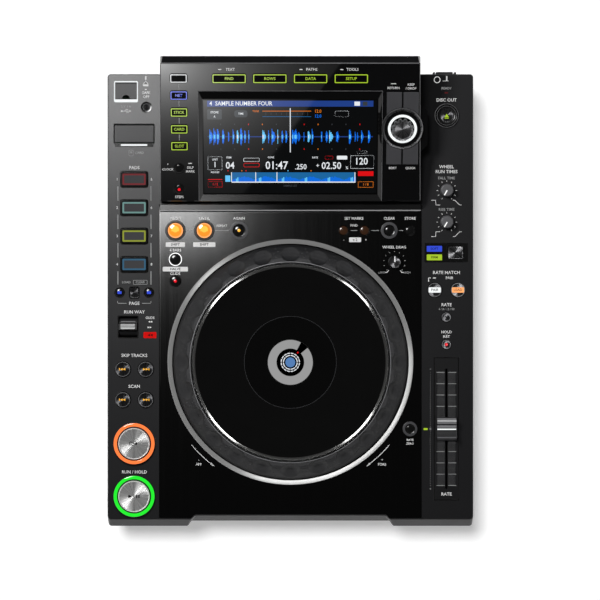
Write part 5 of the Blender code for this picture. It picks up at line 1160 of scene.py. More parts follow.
@dataclass
class Knobs(SubAssembly):
    """The three small knobs, with their scales."""

    slot: str = "black_key"
    radius: float = 5.8
    height: float = 8.5

    def build(self) -> None:
        """Builds each knob on its body and its scale on the case."""
        scales = Form(DECK)
        for node, pointer, finish in (("jog_adjust_knob", 90.0, DARK_TURNED), ("touch_brake_knob", 240.0, KNOB_GREY_AND_SHEEN),
                                      ("release_start_knob", 240.0, KNOB_GREY_AND_SHEEN)):
            centre = node_centre(node)
            self._knob(node, centre, pointer, finish)
            small = node == "jog_adjust_knob"
            angles = range(-60, 241, 30) if not small else range(-45, 226, 27)
            for angle in angles:
                ray = Vector((math.cos(math.radians(angle)), math.sin(math.radians(angle))))
                if small:
                    scales.stamp(circle(0.28, 12, tuple(Vector(centre) + ray * 9.4)))
                else:
                    scales.trail([tuple(Vector(centre) + ray * 7.6), tuple(Vector(centre) + ray * 8.9)], 0.4)
        self.add(scales, "knob_scales", [WHITE_INK])

    def _knob(self, node: str, centre: Spot, pointer: float, finish: Finish) -> None:
        """One fluted knob with a pointer line."""
        form = Form(DECK)
        steps = 72
        rows = []
        for radius, height, flute in ((5.0, -2.5, 0.0), (5.0, 0.3, 0.0), (self.radius, 0.35, 0.12),
                                      (self.radius, 4.0, 0.12), (self.radius - 0.5, 7.6, 0.08),
                                      (self.radius - 0.8, 8.3, 0.0), (self.radius - 1.2, self.height, 0.0),
                                      (1.5, self.height - 0.15, 0.0)):
            row = []
            for step in range(steps):
                angle = math.tau * step / steps
                reach = radius - (flute if step % 3 == 0 else 0.0)
                row.append((*polar(centre, reach, angle), height))
            rows.append(row)
        form.rows(rows)
        ray = Vector((math.cos(math.radians(pointer)), math.sin(math.radians(pointer))))
        start, end = Vector(centre) + ray * 0.2, Vector(centre) + ray * 5.1
        form.plate(bar(tuple(start), tuple(end), 0.95), self.height - 0.5, self.height + 0.06, mark=1)
        self.add(form, f"{node}_cap", [finish, WHITE_INK], body=node, stands_for=[node])


@dataclass
class Lever(SubAssembly):
    """The direction lever in its well."""

    body: str = "direction_lever"
    slot: str = "black_key"

    def build(self) -> None:
        """Builds the drum with its ribbed fin, and the well's rim."""
        x, y, pivot = -142.08, -29.72, 62.5
        drum = Form(Matrix(((0, 0, 1, x), (1, 0, 0, y), (0, 1, 0, pivot), (0, 0, 0, 1))))
        radius, fin_side, half_fin = 8.4, 68.3, 21.7
        angles = [math.radians(fin_side - (360 - 2 * half_fin) * step / 48) for step in range(49)]
        points = [polar((0.0, 0.0), radius, angle) for angle in angles]
        points += [(-2.9, 12.9), (-2.5, 13.6), (2.5, 13.6), (2.9, 12.9)]
        drum.plate(points[::-1], -7.95, 7.95)
        for reach in (-3.6, 3.6):
            drum.plate(oblong(reach - 0.35, reach + 0.35, 7.0, 8.9), -7.6, 7.6)
        for low, high in ((-1.9, -0.5), (0.3, 1.2), (1.7, 2.4)):
            drum.plate(oblong(low, high, 13.3, 13.72), -6.2, 6.2, mark=1)
        drum.plate([(4.3, 6.8), (4.9, 6.8), (4.9, 7.1), (4.3, 7.5)], -6.2, 6.2, mark=2)
        self.add(drum, "direction_lever_drum", [KEY_PLASTIC, GREY_INK_AND_SHEEN, TRIM_AND_SHEEN_GREY], stands_for=["direction_lever"])
        rim = Form(DECK)
        rim.surround(rounded(18.3, 19.8, 0.8, (x, y)), rounded(16.5, 18.0, 0.3, (x, y)), -0.05, 0.4, 0.15)
        self.add(rim, "lever_well_rim", [BLACK_RING], body="case", slot="gloss_black")


@dataclass
class TempoFader(SubAssembly):
    """The speed fader: its scale plate, its cap and the lamp at zero."""

    slot: str = "black_key"
    x: float = 136.48
    middle: float = -119.1

    def build(self) -> None:
        """Builds the plate with its scale, and the scooped cap."""
        plate = Form(DECK)
        top, bottom = self.middle + 61.9, self.middle - 61.7
        outline = oblong(self.x - 10.2, self.x + 10.2, bottom, top)
        slot = oblong(self.x - 1.05, self.x + 1.05, self.middle - 52.9, self.middle + 52.9)
        plate.surround(outline, slot, -0.05, 0.2, 0.1)
        plate.surround(grown(outline, 0.9), grown(outline, 0.05), -0.05, 0.45, 0.15, mark=1)
        self.add(plate, "fader_plate", [FADER_FACE, BLACK_RING], slot="gloss_black")
        scale = Form(DECK)
        for number in range(-50, 51):
            y = self.middle + number * 0.99
            major = number % 10 == 0
            for side in (-1, 1):
                reach = 8.6 if major else 7.9
                mark = 0 if major else 2
                scale.trail([(self.x + side * 1.5, y), (self.x + side * reach, y)], 0.5 if major else 0.26,
                            0.15, 0.24, mark)
            if number % 2 == 0 and number:
                scale.stamp(circle(0.26, 10, (122.5, y)))
        scale.words("-", 3.0, (122.5, self.middle + 52.6)).words("+", 3.0, (122.5, self.middle - 52.6))
        scale.words("0", 3.0, (122.5, self.middle))
        self.add(scale, "fader_scale", [GREY_INK_AND_SHEEN, WHITE_INK, DIM_INK])
        lamp_form = Form(DECK).plate(rounded(3.6, 1.7, 0.3, (118.3, self.middle - 0.1)), -0.02, 0.2, 0.06)
        self.add(lamp_form, "zero_lamp", [LIT_LIME])
        self._cap()

    def _cap(self) -> None:
        """The cap with its two crests, its valley and the white line, and grey bands painted as highlights on its
        crests and slopes, lighter at the rear.
        """
        profile = [(-10.3, 0.6), (10.3, 0.6), (10.3, 2.7), (9.9, 3.6), (7.9, 7.9), (7.3, 8.3), (6.5, 8.15), (4.6, 6.7),
                   (2.6, 6.05), (0.0, 5.95), (-2.6, 6.05), (-4.6, 6.7), (-6.5, 8.15), (-7.3, 8.3), (-7.9, 7.9),
                   (-9.9, 3.6), (-10.3, 2.7)]
        side = Matrix(((0, 0, 1, self.x), (1, 0, 0, self.middle), (0, 1, 0, DECK_TOP), (0, 0, 0, 1)))
        cap = Form(side)
        rows = []
        for across, inset in ((-8.8, 0.35), (-8.45, 0.0), (8.45, 0.0), (8.8, 0.35)):
            outline = grown(profile, -inset) if inset else profile
            rows.append([(y, z, across) for y, z in outline])
        cap.rows(rows)
        cap.plate(oblong(-0.55, 0.55, 5.6, 6.06), -8.2, 8.2, mark=1)
        # Grey bands painted as highlights: lighter on the rear crest and slopes, dimmer on the front crest and slope.
        for mark, sheen_band in ((2, ((9.7, 4.05), (8.1, 7.5))), (3, ((8.0, 7.75), (7.3, 8.28), (6.7, 8.22))),
                           (2, ((6.4, 8.10), (4.7, 6.75))), (2, ((3.4, 6.30), (1.3, 6.02))),
                           (4, ((-6.6, 8.2), (-7.3, 8.3), (-7.9, 7.9), (-9.7, 4.05)))):
            upper = [(y, z + 0.07) for y, z in sheen_band]
            lower = [(y, z - 0.3) for y, z in reversed(sheen_band)]
            cap.plate(upper + lower, -8.3, 8.3, mark=mark)
        cap.plate(oblong(-2.0, 2.0, -7.6, 1.0), -0.6, 0.6)
        self.add(cap, "tempo_fader_cap", [KEY_PLASTIC, LIT_WHITE, TRIM_AND_SHEEN_GREY, GREY_INK_AND_SHEEN, KNOB_GREY_AND_SHEEN], body="tempo_fader",
                 stands_for=["tempo_fader"])


@dataclass
class JogWheel(SubAssembly):
    """The jog wheel: knurled ring, rubber grip with dimples, silver bevel, platter and display."""

    body: str = "jog"
    slot: str = "grip_rubber"
    centre: Spot = (0.0, -60.4)
    top: float = 17.5
    outer: float = 102.0
    inner: float = 86.2
    crown: float = 93.0
    dimples: int = 24
    dimple_along: float = 6.2
    dimple_across: float = 8.0
    dimple_depth: float = 3.6
    dimple_pitch: float = 93.8

    def build(self) -> None:
        """Builds the five parts of the wheel."""
        self._trim_ring()
        self._grip()
        self._platter()
        self._display()

    def _trim_ring(self) -> None:
        """The fixed silver ring with slanted knurling on its top."""
        form = Form(DECK)
        steps = 1440
        rows = []
        profile = ((107.35, 0.35, 0.0, 0.0), (107.35, 2.0, 0.0, 0.0), (107.0, 2.35, 0.04, 0.0),
                   (103.6, 3.42, 0.04, 1.6), (103.3, 3.3, 0.0, 0.0), (103.1, 2.6, 0.0, 0.0),
                   (103.1, 0.35, 0.0, 0.0))
        for radius, height, ridge, slant in profile:
            row = []
            for step in range(steps):
                angle = math.tau * (step + slant * 2) / steps
                lift = ridge if step % 2 else -ridge
                row.append((*polar(self.centre, radius, angle), height + lift))
            rows.append(row)
        form.rows(rows, 0, False, True)
        self.add(form, "jog_trim_knurl", [KNURLED], body="case", slot="satin_metal", stands_for=["jog_trim_ring"])

    def _surface(self, radius: float) -> float:
        """The grip's plain height at a radius."""
        knots = ((86.2, 17.3), (86.7, 17.5), (90.6, 17.2), (93.6, 15.9), (97.0, 13.4), (100.4, 10.2), (101.2, 9.1),
                 (102.0, 7.9))
        for (near, low), (far, high) in zip(knots, knots[1:]):
            if radius <= far:
                share = (radius - near) / (far - near)
                return low + (high - low) * share
        return knots[-1][1]

    def _grip(self) -> None:
        """The rubber ring, with round hollows and small dots between them."""
        form = Form(DECK)
        around = self.dimples * 36
        radii = [self.inner + (self.outer - self.inner) * step / 44 for step in range(45)]
        rows = []
        for radius in radii:
            row = []
            for step in range(around):
                angle = math.tau * step / around
                from_middle = (angle - math.pi / 2) % (math.tau / self.dimples)
                from_middle = min(from_middle, math.tau / self.dimples - from_middle)
                out = (radius * math.cos(from_middle) - self.dimple_pitch) / self.dimple_along
                share = math.hypot(out, radius * math.sin(from_middle) / self.dimple_across)
                height = self._surface(radius)
                if share < 1:
                    height -= self.dimple_depth * (1 - share * share) ** 0.8 * (1 - 0.45 * out)
                row.append((*polar(self.centre, radius, angle), height))
            rows.append(row)
        for radius, height in ((102.0, -7.4), (98.4, -7.4), (98.4, 9.4), (76.0, 9.4), (76.0, 12.9), (86.2, 12.9)):
            rows.append([(*spot, height) for spot in circle(radius, around, self.centre)])
        form.rows(rows, 0, False, True)
        spots = ((0.0, 99.6), (-1.2, 96.9), (1.2, 95.3), (0.1, 92.0), (-1.8, 88.6), (1.9, 88.9))
        for number in range(self.dimples):
            for aside, radius in spots:
                angle = math.radians(90 + (number + 0.5) * 360 / self.dimples + aside)
                place = polar(self.centre, radius, angle)
                height = self._surface(radius)
                form.cap([(0.62, height - 1.0), (0.62, height + 0.05), (0.42, height + 0.30), (0.0, height + 0.38)],
                         place, 10)
        self.add(form, "jog_grip", [RUBBER], stands_for=["jog_wheel"])

    def _platter(self) -> None:
        """The glossy platter with its silver bevel and the round window line."""
        disc = Form(DECK)
        disc.turn([(82.7, 13.3), (82.7, 17.3), (82.4, 17.5), (40.2, 17.5), (40.15, 17.42), (39.7, 17.42), (39.65, 17.5),
                   (20.8, 17.5), (20.6, 17.3), (20.6, 13.3)], self.centre, 192)
        self.add(disc, "jog_platter_disc", [PLATTER_GLOSS], slot="gloss_black", stands_for=["jog_platter"])
        window = Form(DECK)
        window.turn([(39.6, 17.3), (39.6, 17.54), (20.9, 17.54), (20.9, 17.3)], self.centre, 144)
        self.add(window, "jog_window", [WINDOW_BLACK], slot="gloss_black")
        line = Form(DECK)
        line.turn([(40.2, 17.3), (40.15, 17.56), (39.75, 17.56), (39.65, 17.3)], self.centre, 144)
        self.add(line, "jog_window_line", [GREY_RING], slot="gloss_black")
        bevel = Form(DECK)
        bevel.turn([(85.3, 13.3), (85.3, 16.2), (85.1, 16.5), (83.1, 17.45), (82.75, 17.45), (82.75, 13.3)],
                   self.centre, 192)
        self.add(bevel, "jog_silver_bevel", [SILVER], slot="satin_metal")
        lip = Form(DECK)
        lip.turn([(87.5, 17.0), (87.4, 17.66), (86.95, 17.7), (86.9, 17.0)], self.centre, 192)
        lip.turn([(86.9, 17.0), (86.85, 17.6), (86.25, 17.6), (86.2, 17.0)], self.centre, 192, 1)
        self.add(lip, "jog_grip_lip", [TRIM_AND_SHEEN_GREY, BLACK_RING])

    def _display(self) -> None:
        """The round display at the wheel's centre, with a position ring and a marker."""
        glass = Form(DECK)
        glass.cap([(20.1, 12.0), (20.1, 17.35), (19.9, 17.5), (0.0, 17.5)], self.centre, FINE_STEPS)
        self.add(glass, "jog_display_glass", [WINDOW_BLACK], body="case", slot="gloss_black")
        art = Form(DECK)
        cx, cy = self.centre
        low, high = 17.45, 17.56
        art.plate(sector(19.5, 12.0, 62, 400, self.centre, 90), low, high)
        art.plate(sector(11.3, 9.9, 49, 56, self.centre), low, high, mark=1)
        for ring, (outer, inner, parts) in enumerate(((8.3, 7.5, 16), (6.4, 5.6, 8))):
            for part in range(parts):
                start = 360 / parts * part + 2
                art.plate(sector(outer, inner, start, start + 360 / parts - 5, self.centre, 5), low, high, mark=2)
        art.plate(circle(4.3, 40, (cx, cy)), low, high, mark=3)
        self.add(art, "jog_display_marks", [lamp("dial_grey", 146, 146, 146), SCREEN_RED, SCREEN_WHITE,
                                            lamp("dial_blue", 80, 120, 172)], body="case", slot="gloss_black")


class Glow(IntEnum):
    """The colours of the screen's picture, by the number of their finish."""

    DARK = 0
    BLUE = 1
    WAVE = 2
    CYAN = 3
    GREY = 4
    WHITE = 5
    RED = 6
    ORANGE = 7
    STRIP = 8


class ScreenPicture:
    """What the lit screen shows: thin tiles and letters, in layers over the glass."""

    base = 2.93
    layer = 0.03
    foot = 4.6
    stretch = 0.975
    finishes = (SCREEN_DARK, SCREEN_BLUE, SCREEN_WAVE, SCREEN_CYAN, SCREEN_GREY, SCREEN_WHITE, SCREEN_RED,
                SCREEN_ORANGE, SCREEN_STRIP)

    def __init__(self) -> None:
        """Draws the whole picture."""
        self.form = Form(FACE)
        self.rng = random.Random(11)
        self._title()
        self._wave()
        self._figures()
        self._overview()

    def _tile(self, x: float, y: float, width: float, depth: float, glow: Glow, level: int = 1,
              corner: float = 0.1) -> None:
        """One flat lit tile of the picture."""
        outline = rounded(width, depth, corner, (x, self.foot + self.stretch * y), 2)
        self.form.plate(outline, self.base - 0.02, self.base + self.layer * level, mark=glow)

    def _hollow(self, x: float, y: float, width: float, depth: float, glow: Glow, corner: float, inner: float,
                border: float = 0.8) -> None:
        """A tile with a dark middle."""
        self._tile(x, y, width, depth, glow, 1, corner)
        self._tile(x, y, width - border, depth - border, Glow.DARK, 2, inner)

    def _words(self, text: str, size: float, x: float, y: float, glow: Glow, align: str = "LEFT") -> None:
        """Figures or a word on the picture."""
        self.form.words(text, size, (x, self.foot + self.stretch * y), glow, align, self.base,
                        self.base + self.layer * 3, 0.9)

    def _title(self) -> None:
        """The dark ground, the title bar and the row of signs under it."""
        self._tile(0.0, 45.85, 149.2, 82.2, Glow.DARK)
        self._tile(0.0, 85.1, 143.0, 5.2, Glow.BLUE, 2)
        self._words("4  SAMPLE NUMBER FOUR", 5.2, -69.5, 85.1, Glow.WHITE)
        self._tile(57.6, 85.1, 4.8, 3.6, Glow.WHITE, 3)
        self._tile(64.4, 85.1, 4.0, 3.6, Glow.GREY, 3)
        self._tile(-65.2, 75.4, 12.6, 8.9, Glow.GREY, 2, 0.8)
        self._words("STORE", 2.6, -65.2, 77.2, Glow.WHITE, "CENTER")
        self._words("A", 2.6, -65.2, 73.4, Glow.WHITE, "CENTER")
        self._tile(-42.5, 76.0, 11.4, 6.2, Glow.GREY, 2, 2.0)
        self._words("TIME", 2.4, -42.5, 76.0, Glow.WHITE, "CENTER")
        self._tile(-3.0, 78.4, 42.0, 0.5, Glow.ORANGE, 2)
        self._tile(-3.0, 73.4, 42.0, 0.4, Glow.STRIP, 2)
        self._words("TONE", 2.3, -32.5, 78.2, Glow.ORANGE)
        for step in range(9):
            self._tile(-21.0 + step * 4.5, 76.0, 0.4, 2.0 if step % 4 else 3.4, Glow.GREY, 2)
        self._words("12.0", 3.9, 20.8, 78.2, Glow.ORANGE)
        self._words("12.0", 3.9, 20.8, 73.8, Glow.WAVE)
        self._hollow(44.4, 76.0, 12.0, 5.4, Glow.WHITE, 1.2, 1.0)

    def _wave(self) -> None:
        """The wave of the sound with its marks."""
        count = 284
        rng, hues = self.rng, (Glow.WAVE, Glow.WAVE, Glow.WAVE, Glow.CYAN)
        bursts = [(-70.0 + 140.0 * place / 36 + rng.uniform(-1.4, 1.4), rng.uniform(0.8, 3.4), rng.uniform(0.7, 1.0),
                   rng.choice(hues)) for place in range(36) if rng.random() < 0.84]
        for step in range(count):
            x = -71.0 + 142.0 * step / (count - 1)
            height, mark = 0.9, Glow.BLUE
            for left, reach, tall, colour in bursts:
                away = (x - left) / reach
                if 0 <= away < 1:
                    size = 15.6 * tall * (min(1.0, 1.6 - 1.5 * away)) * (0.62 + 0.38 * rng.random())
                    if size > height:
                        height, mark = size, colour
            self._tile(x, 55.2, 0.5, min(height, 15.6), mark, 2)
            if height > 9.0:
                self._tile(x, 55.2, 0.5, height * 0.3, Glow.CYAN if mark == Glow.WAVE else Glow.WHITE, 3)
        self._tile(0.0, 61.0, 0.75, 39.0, Glow.WHITE, 4)
        beats = (Glow.GREY, Glow.GREY, Glow.RED, Glow.ORANGE)
        for row in (66.4, 44.0):
            for step in range(11):
                self._tile(-60.0 + 12.0 * step, row, 0.7, 1.2, beats[step % 4], 2)

    def _figures(self) -> None:
        """The unit, the item, the time and the rate."""
        self._hollow(-65.2, 31.0, 12.6, 12.0, Glow.WHITE, 0.4, 0.3)
        self._words("UNIT", 2.4, -65.2, 34.4, Glow.WHITE, "CENTER")
        self._words("1", 6.8, -65.2, 29.6, Glow.WHITE, "CENTER")
        self._words("ROUND", 2.2, -65.2, 22.8, Glow.WHITE, "CENTER")
        self._words("ITEM", 2.3, -55.4, 36.2, Glow.WHITE)
        self._words("04", 8.6, -56.0, 28.8, Glow.WHITE)
        self._hollow(-33.6, 34.2, 14.0, 3.4, Glow.WHITE, 0.8, 0.7)
        self._hollow(-33.6, 29.4, 14.0, 3.8, Glow.RED, 1.2, 0.9, 1.0)
        self._words("GONE", 2.2, -19.6, 36.4, Glow.WHITE)
        self._words("01:47", 9.8, -21.6, 28.8, Glow.WHITE)
        self._words(".250", 6.6, 4.0, 27.6, Glow.WHITE)
        self._words("RATE", 2.3, 19.0, 36.2, Glow.WHITE)
        self._hollow(33.6, 36.2, 7.2, 3.2, Glow.RED, 0.6, 0.5)
        self._tile(44.8, 36.2, 9.0, 3.3, Glow.WHITE, 2, 0.7)
        self._words("+", 5.0, 22.4, 28.8, Glow.WHITE)
        self._words("02.50", 8.6, 27.0, 28.6, Glow.WHITE)
        self._words("%", 3.4, 48.0, 26.8, Glow.WHITE)
        self._hollow(62.2, 32.2, 20.4, 11.8, Glow.WHITE, 0.4, 0.3)
        self._words("120", 8.6, 61.4, 32.6, Glow.WHITE, "CENTER")
        self._hollow(62.0, 41.2, 9.0, 2.6, Glow.WHITE, 1.0, 0.8)

    def _overview(self) -> None:
        """The strip that shows the whole item, and what stands at its ends."""
        self._tile(2.8, 18.4, 107.4, 8.4, Glow.STRIP, 2)
        for step in range(92):
            x = -50.2 + 1.17 * step
            height = 1.6 + 3.4 * abs(math.sin(step * 0.19)) * (0.6 + 0.4 * self.rng.random())
            self._tile(x, 14.2 + height / 2, 1.0, height, Glow.CYAN if step % 17 in (3, 4) else Glow.WAVE, 3)
        self._tile(2.8, 13.8, 107.4, 0.9, Glow.WHITE, 4)
        for x in (-51.0, -30.0, -11.6, 56.0):
            self._tile(x, 18.4, 0.7, 8.6, Glow.WHITE, 4)
        self._tile(-54.2, 17.0, 4.4, 5.6, Glow.CYAN, 2)
        for x, mark in ((-54.0, Glow.RED), (-42.0, Glow.ORANGE), (-38.4, Glow.RED), (-2.0, Glow.CYAN),
                        (18.0, Glow.ORANGE)):
            self._tile(x, 24.2, 0.9, 0.9, mark, 2)
        self._tile(65.4, 21.6, 13.4, 4.2, Glow.RED, 2)
        self._tile(-65.2, 16.2, 12.6, 0.6, Glow.RED, 2)
        self._hollow(-65.2, 11.8, 12.6, 5.4, Glow.RED, 0.4, 0.3)
        self._words("1 / 2", 3.0, -65.2, 11.8, Glow.RED, "CENTER")
        self._hollow(65.4, 11.6, 13.4, 5.4, Glow.ORANGE, 0.4, 0.3)
        self._words("1 / 8", 3.0, 65.4, 11.6, Glow.ORANGE, "CENTER")
        self._words("SAMPLE LIST", 2.4, 0.0, 10.4, Glow.GREY, "CENTER")


@dataclass
class DisplayHousing(SubAssembly):
    """The tilted housing with its keys, its selector and the screen."""

    slot: str = "gloss_black"
    source_rows: tuple[float, ...] = (49.6, 64.5, 79.4, 94.3, 109.2)
    source_x: float = -95.84
    menu_columns: tuple[float, ...] = (-52.44, -17.48, 17.48, 52.44)
    menu_row: float = 109.0
    selector: Spot = (96.8, 65.2)

    def build(self) -> None:
        """Dresses the housing and builds everything on its face."""
        for node, finish in (("display_housing", HOUSING_GLOSS), ("screen_frame", FRAME_GLOSS),
                             ("screen_glass", WINDOW_BLACK)):
            self.dress(node, finish)
        self._keys()
        self._round_keys()
        self._selector()
        self._screen()
        self._print()
        self._edges()

    def _keys(self) -> None:
        """The five source keys and the four menu keys, each group on its carrier."""
        sources = Form(FACE)
        lit = (LIT_LIME, LIT_LIME, LIT_LIME, LIT_BLUE, lamp("lit_pale", 178, 180, 182))
        names = ("SLOT", "CARD", "STICK", "NET", "")
        for row, finish, name in zip(self.source_rows, (1, 1, 1, 2, 3), names):
            self._lit_key(sources, (self.source_x, row), 14.8, 7.9, finish, name)
        sources.plate(rounded(9.0, 59.6, 0.2, (self.source_x, 79.4)), -4.7, -3.3)
        self.add(sources, "source_keys_lit", [KEY_LENS, lit[0], lit[3], lit[4]], body="source_keys",
                 slot="black_key", stands_for=["source_keys"])
        menus = Form(FACE)
        for column, name in zip(self.menu_columns, ("FIND", "ROWS", "DATA", "SETUP")):
            self._lit_key(menus, (column, self.menu_row), 29.2, 8.3, 1, name)
        menus.plate(rounded(104.9, 5.0, 0.2, (0.0, self.menu_row)), -4.7, -3.3)
        self.add(menus, "menu_keys_lit", [KEY_LENS, LIT_LIME], body="menu_keys", slot="black_key",
                 stands_for=["menu_keys"])

    @staticmethod
    def _lit_key(form: Form, place: Spot, width: float, depth: float, mark: int, name: str) -> None:
        """One black key with a lit frame and a lit word."""
        outline = rounded(width, depth, 1.2, place)
        form.loft([(outline, -4.0), (outline, 0.9), (grown(outline, -0.2), 1.15), (grown(outline, -0.5), 1.2)])
        form.surround(grown(outline, -0.35), rounded(width - 2.3, depth - 2.3, 0.6, place), 0.7, 1.26, 0.08, mark)
        if name:
            form.words(name, 3.4, place, mark, low=1.15, high=1.25)

    def _round_keys(self) -> None:
        """The two round keys at the lower left."""
        rings = Form(FACE)
        for node, place, lit in (("time_button", (-96.4, 29.3), None), ("quantize_button", (-96.6, 11.0), LIT_RED)):
            cap = Form(FACE)
            cap.cap([(4.6, -4.0), (3.9, -3.4), (3.9, 0.7)] + dome(3.9, 0.7, 0.85), place)
            if lit:
                cap.cap([(1.3, 1.2), (1.3, 1.5), (0.8, 1.66), (0.0, 1.7)], place, 24, mark=1)
            self.add(cap, f"{node}_cap", [GLOSS_KEY, LIT_RED], body=node, slot="black_key", stands_for=[node])
            rings.turn([(4.9, -0.05), (4.9, 0.25), (4.7, 0.4), (4.3, 0.3), (4.2, -0.05)], place)
        self.add(rings, "face_button_rings", [BLACK_RING])

    def _selector(self) -> None:
        """The selector: a turned collar, a lit ring, a scalloped knob and four keys round it."""
        collar = Form(FACE)
        collar.turn([(17.75, -0.05), (17.75, 1.5), (17.45, 2.45), (17.1, 2.8), (16.5, 2.85), (16.1, 2.6), (13.9, 1.5),
                     (12.85, 1.2), (12.85, -0.05)], self.selector, FINE_STEPS)
        self.add(collar, "selector_collar", [FACE_TURNED], slot="satin_metal")
        outline = Form(FACE).turn([(17.9, 0.6), (17.85, 1.9), (17.6, 2.3), (17.5, 1.0)], self.selector, FINE_STEPS)
        self.add(outline, "selector_outline", [TRIM_AND_SHEEN_GREY], slot="satin_metal")
        ring = Form(FACE).turn([(12.75, 0.5), (12.7, 2.2), (12.4, 2.6), (10.5, 2.6), (10.2, 2.3), (10.1, -0.4)],
                               self.selector, FINE_STEPS)
        self.add(ring, "selector_light_ring", [LIT_WHITE])
        self._selector_knob()
        keys = Form(FACE)
        for outline in self._corner_outlines():
            keys.loft([(outline, -4.0), (outline, 0.8), (grown(outline, -0.3), 1.15), (grown(outline, -0.8), 1.2)])
        plate = rounded(23.0, 61.6, 1.2, self.selector)
        keys.surround(plate, circle(6.0, len(plate), self.selector, math.pi / 2 / 6), -4.7, -3.3, 0.01)
        self.add(keys, "selector_corner_keys", [CORNER_KEY], body="selector_side_keys", slot="black_key",
                 stands_for=["selector_side_keys"])

    def _selector_knob(self) -> None:
        """The knob, with finger scallops and a turned top."""
        knob = Form(FACE)
        steps = 144
        rows = []
        for radius, height, scallop in ((9.5, 1.8, 1.3), (9.7, 2.4, 1.3), (9.7, 6.6, 1.3), (9.4, 7.3, 1.1),
                                        (8.5, 7.8, 0.3), (8.2, 8.0, 0.0), (8.0, 9.6, 0.0), (7.7, 9.95, 0.0),
                                        (7.3, 10.0, 0.0), (7.1, 9.8, 0.0), (3.0, 9.6, 0.0), (0.5, 9.5, 0.0)):
            row = []
            for step in range(steps):
                angle = math.tau * step / steps
                reach = radius - scallop * (1 - abs(math.sin(6 * angle)))
                row.append((*polar(self.selector, reach, angle), height))
            rows.append(row)
        knob.rows(rows)
        self.add(knob, "selector_knob_turned", [FACE_TURNED], body="selector_knob", slot="black_key",
                 stands_for=["selector_knob"])

    def _corner_outlines(self) -> list[Outline]:
        """Plans of the four keys, each cut by the collar."""
        side, end, split, ring = 13.7, 31.9, 0.65, 18.1
        start, stop = math.acos(side / ring), math.acos(split / ring)
        arc = [start + (stop - start) * step / 16 for step in range(17)]
        quarter = [(ring * math.cos(a), ring * math.sin(a)) for a in arc] + [(split, end), (side, end)]
        outlines = []
        for sx, sy in ((1, 1), (-1, 1), (-1, -1), (1, -1)):
            outline = [(self.selector[0] + sx * x, self.selector[1] + sy * y) for x, y in quarter]
            outlines.append(outline if sx * sy < 0 else outline[::-1])
        return outlines

    def _screen(self) -> None:
        """The lit picture on the screen."""
        picture = ScreenPicture()
        self.add(picture.form, "screen_picture", picture.finishes, slot="dark_glass")

    def _print(self) -> None:
        """Words and lines printed on the face."""
        ink = Form(FACE)
        for column, name in ((self.menu_columns[0], "TEXT"), (self.menu_columns[2], "PATHS"),
                             (self.menu_columns[3], "TOOLS")):
            ink.words(name, 3.3, (column + 1.0, 116.8)).trail([(column - 9.4, 116.8), (column - 6.8, 116.8)], 0.9)
        for low, high in zip(self.source_rows, self.source_rows[1:]):
            ink.trail([(self.source_x, low + 5.0), (self.source_x, high - 5.0)], 0.6, mark=1)
        ink.words("CLOCK", 2.9, (-106.2, 28.6)).words("SELF", 2.9, (-86.8, 30.2)).words("MARK", 2.9, (-86.8, 26.8))
        ink.stamp(circle(0.5, 12, (-106.2, 33.4))).trail([(-88.4, 34.0), (-85.2, 34.0)], 0.8)
        ink.words("STEPS", 3.0, (-96.6, 3.9))
        ink.words("RETURN", 2.8, (88.8, 100.6)).words("KEEP", 2.8, (103.8, 103.6)).words("/ DROP", 2.8, (103.8, 100.2))
        ink.words("SORT", 2.8, (88.8, 29.8)).words("QUICK", 2.8, (104.2, 29.8))
        ink.trail([(86.6, 104.4), (91.0, 104.4)], 0.7)
        self.add(ink, "face_print", [WHITE_INK, GREY_INK_AND_SHEEN])

    def _edges(self) -> None:
        """Thin grey lines painted as highlights along the face's sides and round the screen, the front bevel, and the
        rear strip with a painted highlight along its ridge.
        """
        # Light grey lines painted as highlights on the face's side edges and round the screen's edge.
        lines = Form(FACE)
        ridge = 121.4
        for side in (-1, 1):
            lines.trail([(side * 113.0, 1.6), (side * 111.3, ridge)], 0.5, -0.02, 0.05)
        lines.trail([(-79.4, 0.6), (-79.4, 98.0), (79.4, 98.0), (79.4, 0.6)], 0.6, -0.02, 0.12)
        self.add(lines, "face_bright_lines", [TRIM_AND_SHEEN_GREY])
        bevel = Form(FACE)
        rows = []
        for x, depth in ((-78.9, 0.0), (-75.9, 6.6), (75.9, 6.6), (78.9, 0.0)):
            low, rise = 0.38, 0.74 + 2.6 * depth / 6.6
            rows.append([(x, low, 0.5), (x, low + depth, rise - 0.2), (x, low + depth, rise), (x, low, 0.74)])
        bevel.rows(rows)
        self.add(bevel, "screen_front_bevel", [BEVEL_METAL], slot="screen_bezel")
        strip = Form(Matrix.Identity(4))
        slope = ((196.7, 117.0), (197.05, 117.25), (204.72, 97.3), (204.3, 97.1))
        # A light grey band painted as the highlight along the housing's rear ridge.
        ridge_highlight = ((196.0, 117.3), (196.2, 117.79), (196.45, 117.79), (197.08, 117.4), (196.9, 117.1))
        for mark, section in enumerate((slope, ridge_highlight)):
            strip.rows([[(x, *spot) for spot in section] for x in (-110.6, 110.6)], mark)
        self.add(strip, "housing_rear_strip", [REAR_STRIP, TRIM_AND_SHEEN_GREY])


